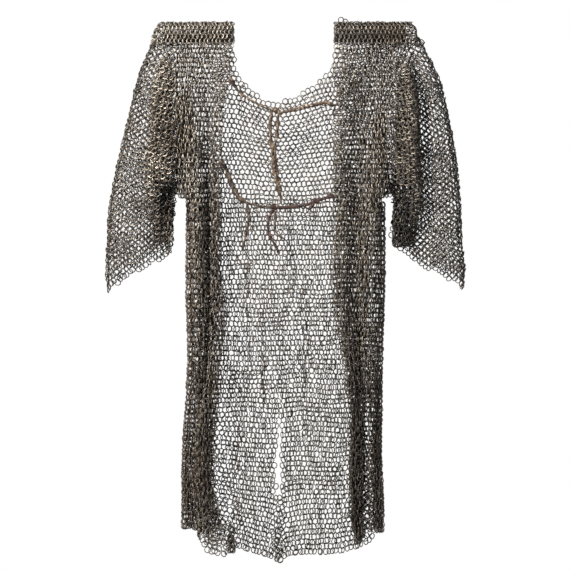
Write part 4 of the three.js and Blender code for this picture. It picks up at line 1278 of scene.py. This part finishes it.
# The outer fold down the arm: its place in the cross-section and how far it leans out.
def sleeveFold(surface, z):
    columns = sleeveWeave["columns"]
    foldF = np.array([np.argmax(np.abs(line[:, 0])) / columns for line in surface["lines"]])
    evened = np.convolve(np.pad(foldF, 4, mode="edge"), np.ones(9) / 9, mode="valid")
    foldF = np.interp(-z, -surface["heights"], evened)
    fold = onSurface(surface, foldF, z)
    steps = np.linalg.norm(np.diff(fold, axis=0), axis=1)
    slant = np.gradient(np.abs(fold[:, 0]), -z)
    slant = np.interp(np.minimum(z, -28), z[::-1], slant[::-1])
    return foldF, np.concatenate([[0], np.cumsum(steps)]), slant


# Rows counted from the outer fold, closer where the sleeve is bunched
def sleeveRows(surface, levels, z, foldF, slant):
    columns = sleeveWeave["columns"]
    fine = np.linspace(0, 1, columns + 1)
    width = widthAt(surface, z)
    gapNow = sleeveWeave["row"] * np.sqrt(1 + slant ** 2)
    hollowX = levelAt(levels, "hollowX", z)
    upper = sleeveWeave["bunchedUpper"]
    counts, gaps = [], []
    for k in range(len(z)):
        line = onSurface(surface, fine, np.full(columns + 1, z[k]))
        bunched = smoothStep(hollowX[k] - np.abs(line[:, 0]), *sleeveWeave["bunchedOut"])
        bunched = bunched * (line[:, 1] < 0)
        bunched = bunched * (upper + (1 - upper) * smoothStep(-z[k], *sleeveWeave["bunchedDown"]))
        behind = smoothStep(fine - foldF[k], *sleeveWeave["behind"])
        gap = gapNow[k] * (1 - sleeveWeave["behindRow"] * behind)
        gap = gap + (sleeveWeave["bunchedRow"] - gapNow[k]) * bunched
        total = width[k] / columns / ((gap[1:] + gap[:-1]) / 2)
        total = np.concatenate([[0], np.cumsum(total)])
        counts.append(total - np.interp(foldF[k], fine, total))
        gaps.append(gap)
    return fine, counts, gaps


# Sleeve rows run down the arm, side by side from the outer fold to the underarm.
def makeSleeve(name, sleeve):
    surface = sleeveSurface(sleeve["side"], sleeve["levels"])
    z = np.arange(cloth["top"] + 3, cloth["sleeveEnd"], -1.0)
    foldF, down, slant = sleeveFold(surface, z)
    fine, counts, gaps = sleeveRows(surface, sleeve["levels"], z, foldF, slant)
    rings, rows = [], 0
    for k in range(*sleeveWeave["rows"]):
        f = np.array([np.interp(k, total, fine, left=-1, right=2) for total in counts])
        along = down - 0.5 * abs(k) * sleeveWeave["row"] * slant
        odd = k % 2
        pitch = sleeveWeave["pitch"] * (1 if k <= 0 else sleeveWeave["behindPitch"])
        wanted = (np.arange(*sleeveWeave["rings"]) + 0.25 + 0.5 * odd) * pitch
        ringZ = np.interp(wanted, along, z)
        ringF = np.interp(ringZ, z[::-1], f[::-1])
        kept = (wanted > along[0] - 1) & (wanted < along[-1] - 1)
        kept &= (ringF > 0.004) & (ringF < 0.996)
        outward = 1 - np.abs(2 * ringF - 1)
        inFront = ringF < np.interp(ringZ, z[::-1], foldF[::-1])
        rise = sleeve["frontRise"] * inFront * between(outward, *sleeveWeave["riseOut"])
        edge = straightAt(sleeve["cuff"], "at", "z", outward) + sleeveWeave["cuffEdge"]
        kept &= ringZ > edge + rise
        ringZ, ringF = ringZ[kept], ringF[kept]
        if len(ringZ) == 0:
            continue
        at = np.clip(np.searchsorted(-z, -ringZ), 0, len(z) - 1)
        gap = np.array([np.interp(share, fine, gaps[row]) for share, row in zip(ringF, at)])
        probe = onSurface(surface, ringF, ringZ)
        ringZ = ringZ + waviness(probe, *sleeveWeave["drift"])
        aside = waviness(probe + 300, *sleeveWeave["aside"]) / widthAt(surface, ringZ)
        ringF = np.clip(ringF + aside, 0.004, 0.996)
        count = len(ringZ)
        rings += layRings(partial(onSurface, surface), ringF, ringZ, np.full(count, odd),
                          np.full(count, sleeveWeave["turnPitch"]), gap, along=True,
                          mess=sleeveWeave["mess"], slide=sleeveWeave["slide"])
        rows += 1
    rings += foldedRings(sleeve["side"], sleeve["folded"], sleeveWeave["seed"])
    makeMail(name, rings, [sleeve["node"]])
    return len(rings)


# Shoulder tones: the rings over the bars are painted lighter, the left more than the right, as painted
# light from the upper left
shoulders = {
    "mailShoulderLeft": {"side": -1, "end": leftShoulderEnd, "node": "left_shoulder",
                         "tone": 0.20, "loose": ()},
    "mailShoulderRight": {"side": 1, "end": rightShoulderEnd, "node": "right_shoulder",
                          "tone": 0.05, "loose": ((94, 4.5), (101, 1.5))},
}
shoulderWeave = {"pitch": 6.9, "rows": 12, "drift": (1.6, 30)}


def makeShoulder(name, shoulder):
    side, end = shoulder["side"], shoulder["end"]
    start, tip = end["x"][0], end["x"][-1] + 4
    quarter = math.pi / 2 * cloth["overBar"]
    reach = quarter - cloth["top"]

    def at(f, x):                    # f goes over the bar from front to back
        past = np.clip((x - start) / (tip - start), 0, 0.999)
        half = cloth["overBar"] * np.sqrt(1 - past ** 2)
        top = np.interp(x, end["x"], end["top"], left=cloth["overBar"])
        lift = (top - cloth["top"]) / (cloth["overBar"] - cloth["top"])
        length = (2 * f - 1) * reach
        turn = np.clip(length / cloth["overBar"], -math.pi / 2, math.pi / 2)
        hang = np.maximum(np.abs(length) - quarter, 0)
        height = cloth["overBar"] * np.cos(turn) - hang
        z = cloth["top"] + (height - cloth["top"]) * lift
        return np.column_stack([side * x, half * np.sin(turn), z])

    rings = []
    pitch, rows = shoulderWeave["pitch"], shoulderWeave["rows"]
    for j in range(rows):
        odd = j % 2
        count = int((tip - cloth["neckHalf"]) / pitch)
        x = cloth["neckHalf"] + (np.arange(count) + 0.4 + 0.5 * odd) * pitch
        x = x[x < tip - 2]
        f = np.full(len(x), (j + 0.5) / rows)
        x = x + waviness(np.column_stack([x, f * 80, f]), *shoulderWeave["drift"])
        rings += layRings(at, f, x, np.full(len(x), odd), np.full(len(x), pitch),
                          np.full(len(x), 2 * reach / rows), along=True, tone=shoulder["tone"])
    for x, lift in shoulder["loose"]:
        stray = dict(rings[0], place=Vector((side * x, -4, cloth["overBar"] + lift)))
        stray["turn"] = Euler((1.4, 0.3 * lift, 0.2)).to_quaternion()
        rings.append(stray)
    makeMail(name, rings, [shoulder["node"]])
    return len(rings)


for maker, group in ((makeShoulder, shoulders), (makeFront, fronts), (makeGusset, gussets),
                     (makeSkirt, skirts), (makeSleeve, sleeves)):
    for name, cut in group.items():
        ringCount += maker(name, cut)
ringCount += makeBack()
for link in list(ringKinds.objects):
    bpy.data.objects.remove(link)
bpy.data.collections.remove(ringKinds)
print("mail laid:", ringCount, "rings")


bar = {"radius": 15.0, "inner": 83.0, "outer": 201.0, "edge": 1.2, "sides": 48}


def makeBar(name, side, node):
    deselectAll()
    middle = side * (bar["inner"] + bar["outer"]) / 2
    bpy.ops.mesh.primitive_cylinder_add(
        vertices=bar["sides"], radius=bar["radius"] * metre,
        depth=(bar["outer"] - bar["inner"]) * metre, location=(middle * metre, 0, 0),
        rotation=(0, math.pi / 2, 0))
    rod = bpy.context.object
    bpy.ops.object.transform_apply(location=True, rotation=True, scale=True)
    editMesh(True)
    bpy.ops.mesh.edges_select_sharp(sharpness=math.radians(40))
    bpy.ops.mesh.bevel(offset=bar["edge"] * metre, segments=2)
    endEdit()
    bpy.ops.object.shade_smooth_by_angle(angle=math.radians(40))
    finishPiece(rod, name, stainedWood)
    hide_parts(node)


makeBar("barLeft", -1, "left_bar")
makeBar("barRight", 1, "right_bar")
print("bars in place")


studio = {
    "floor": -1250, "floorSize": 6.0, "floorColour": (0.82, 0.81, 0.80, 1), "white": 1.0,
    "behind": 0.75, "front": 0.10, "above": 0.35,
    "key": {"place": (-0.72, -0.80, 0.68), "aim": (-0.05, 0, -0.25), "size": 0.35, "power": 100,
            "colour": (1.0, 0.95, 0.88)},
    "fill": {"place": (1.6, -2.0, 0.4), "aim": (0, 0, -0.4), "size": 1.2, "power": 16,
             "colour": (0.90, 0.95, 1.0)},
}


def makeFloor():
    deselectAll()
    bpy.ops.mesh.primitive_plane_add(
        size=studio["floorSize"], location=(0, 0, studio["floor"] * metre))
    floor = bpy.context.object
    floor.name = "floor"
    bpy.ops.object.transform_apply(location=True)
    material, tree, shader = newMaterial("paleFloor")
    shader.inputs["Base Color"].default_value = studio["floorColour"]
    shader.inputs["Roughness"].default_value = 0.9
    floor.data.materials.append(material)


def makeWorld():                     # a white backdrop behind, a dim room in front
    world = bpy.data.worlds.new("paleStudio")
    scene.world = world
    world.use_nodes = True
    tree = world.node_tree
    sky = addNode(tree, "ShaderNodeTexCoord")
    facing = addNode(tree, "ShaderNodeSeparateXYZ", {0: sky.outputs["Generated"]})
    deep = rangeOf(tree, facing.outputs["Y"], -0.2, 1, studio["front"], studio["behind"])
    high = rangeOf(tree, facing.outputs["Z"], 0.2, 1, 0, studio["above"])
    light = addNode(tree, "ShaderNodeMath", {0: deep, 1: high}, operation="ADD").outputs[0]
    path = addNode(tree, "ShaderNodeLightPath").outputs["Is Camera Ray"]
    strength = rangeOf(tree, path, 0, 1, light, studio["white"])
    back = tree.nodes["Background"]
    back.inputs["Color"].default_value = (1, 1, 1, 1)
    tree.links.new(strength, back.inputs["Strength"])


def addAreaLight(light):
    deselectAll()
    bpy.ops.object.light_add(type="AREA", location=light["place"])
    lamp = bpy.context.object
    lamp.data.size = light["size"]
    lamp.data.energy = light["power"]
    lamp.data.color = light["colour"]
    aim = Vector(light["aim"]) - Vector(light["place"])
    lamp.rotation_euler = aim.to_track_quat("-Z", "Y").to_euler()


makeFloor()
makeWorld()
addAreaLight(studio["key"])
addAreaLight(studio["fill"])
scene.view_settings.view_transform = "Standard"
print("studio lit")
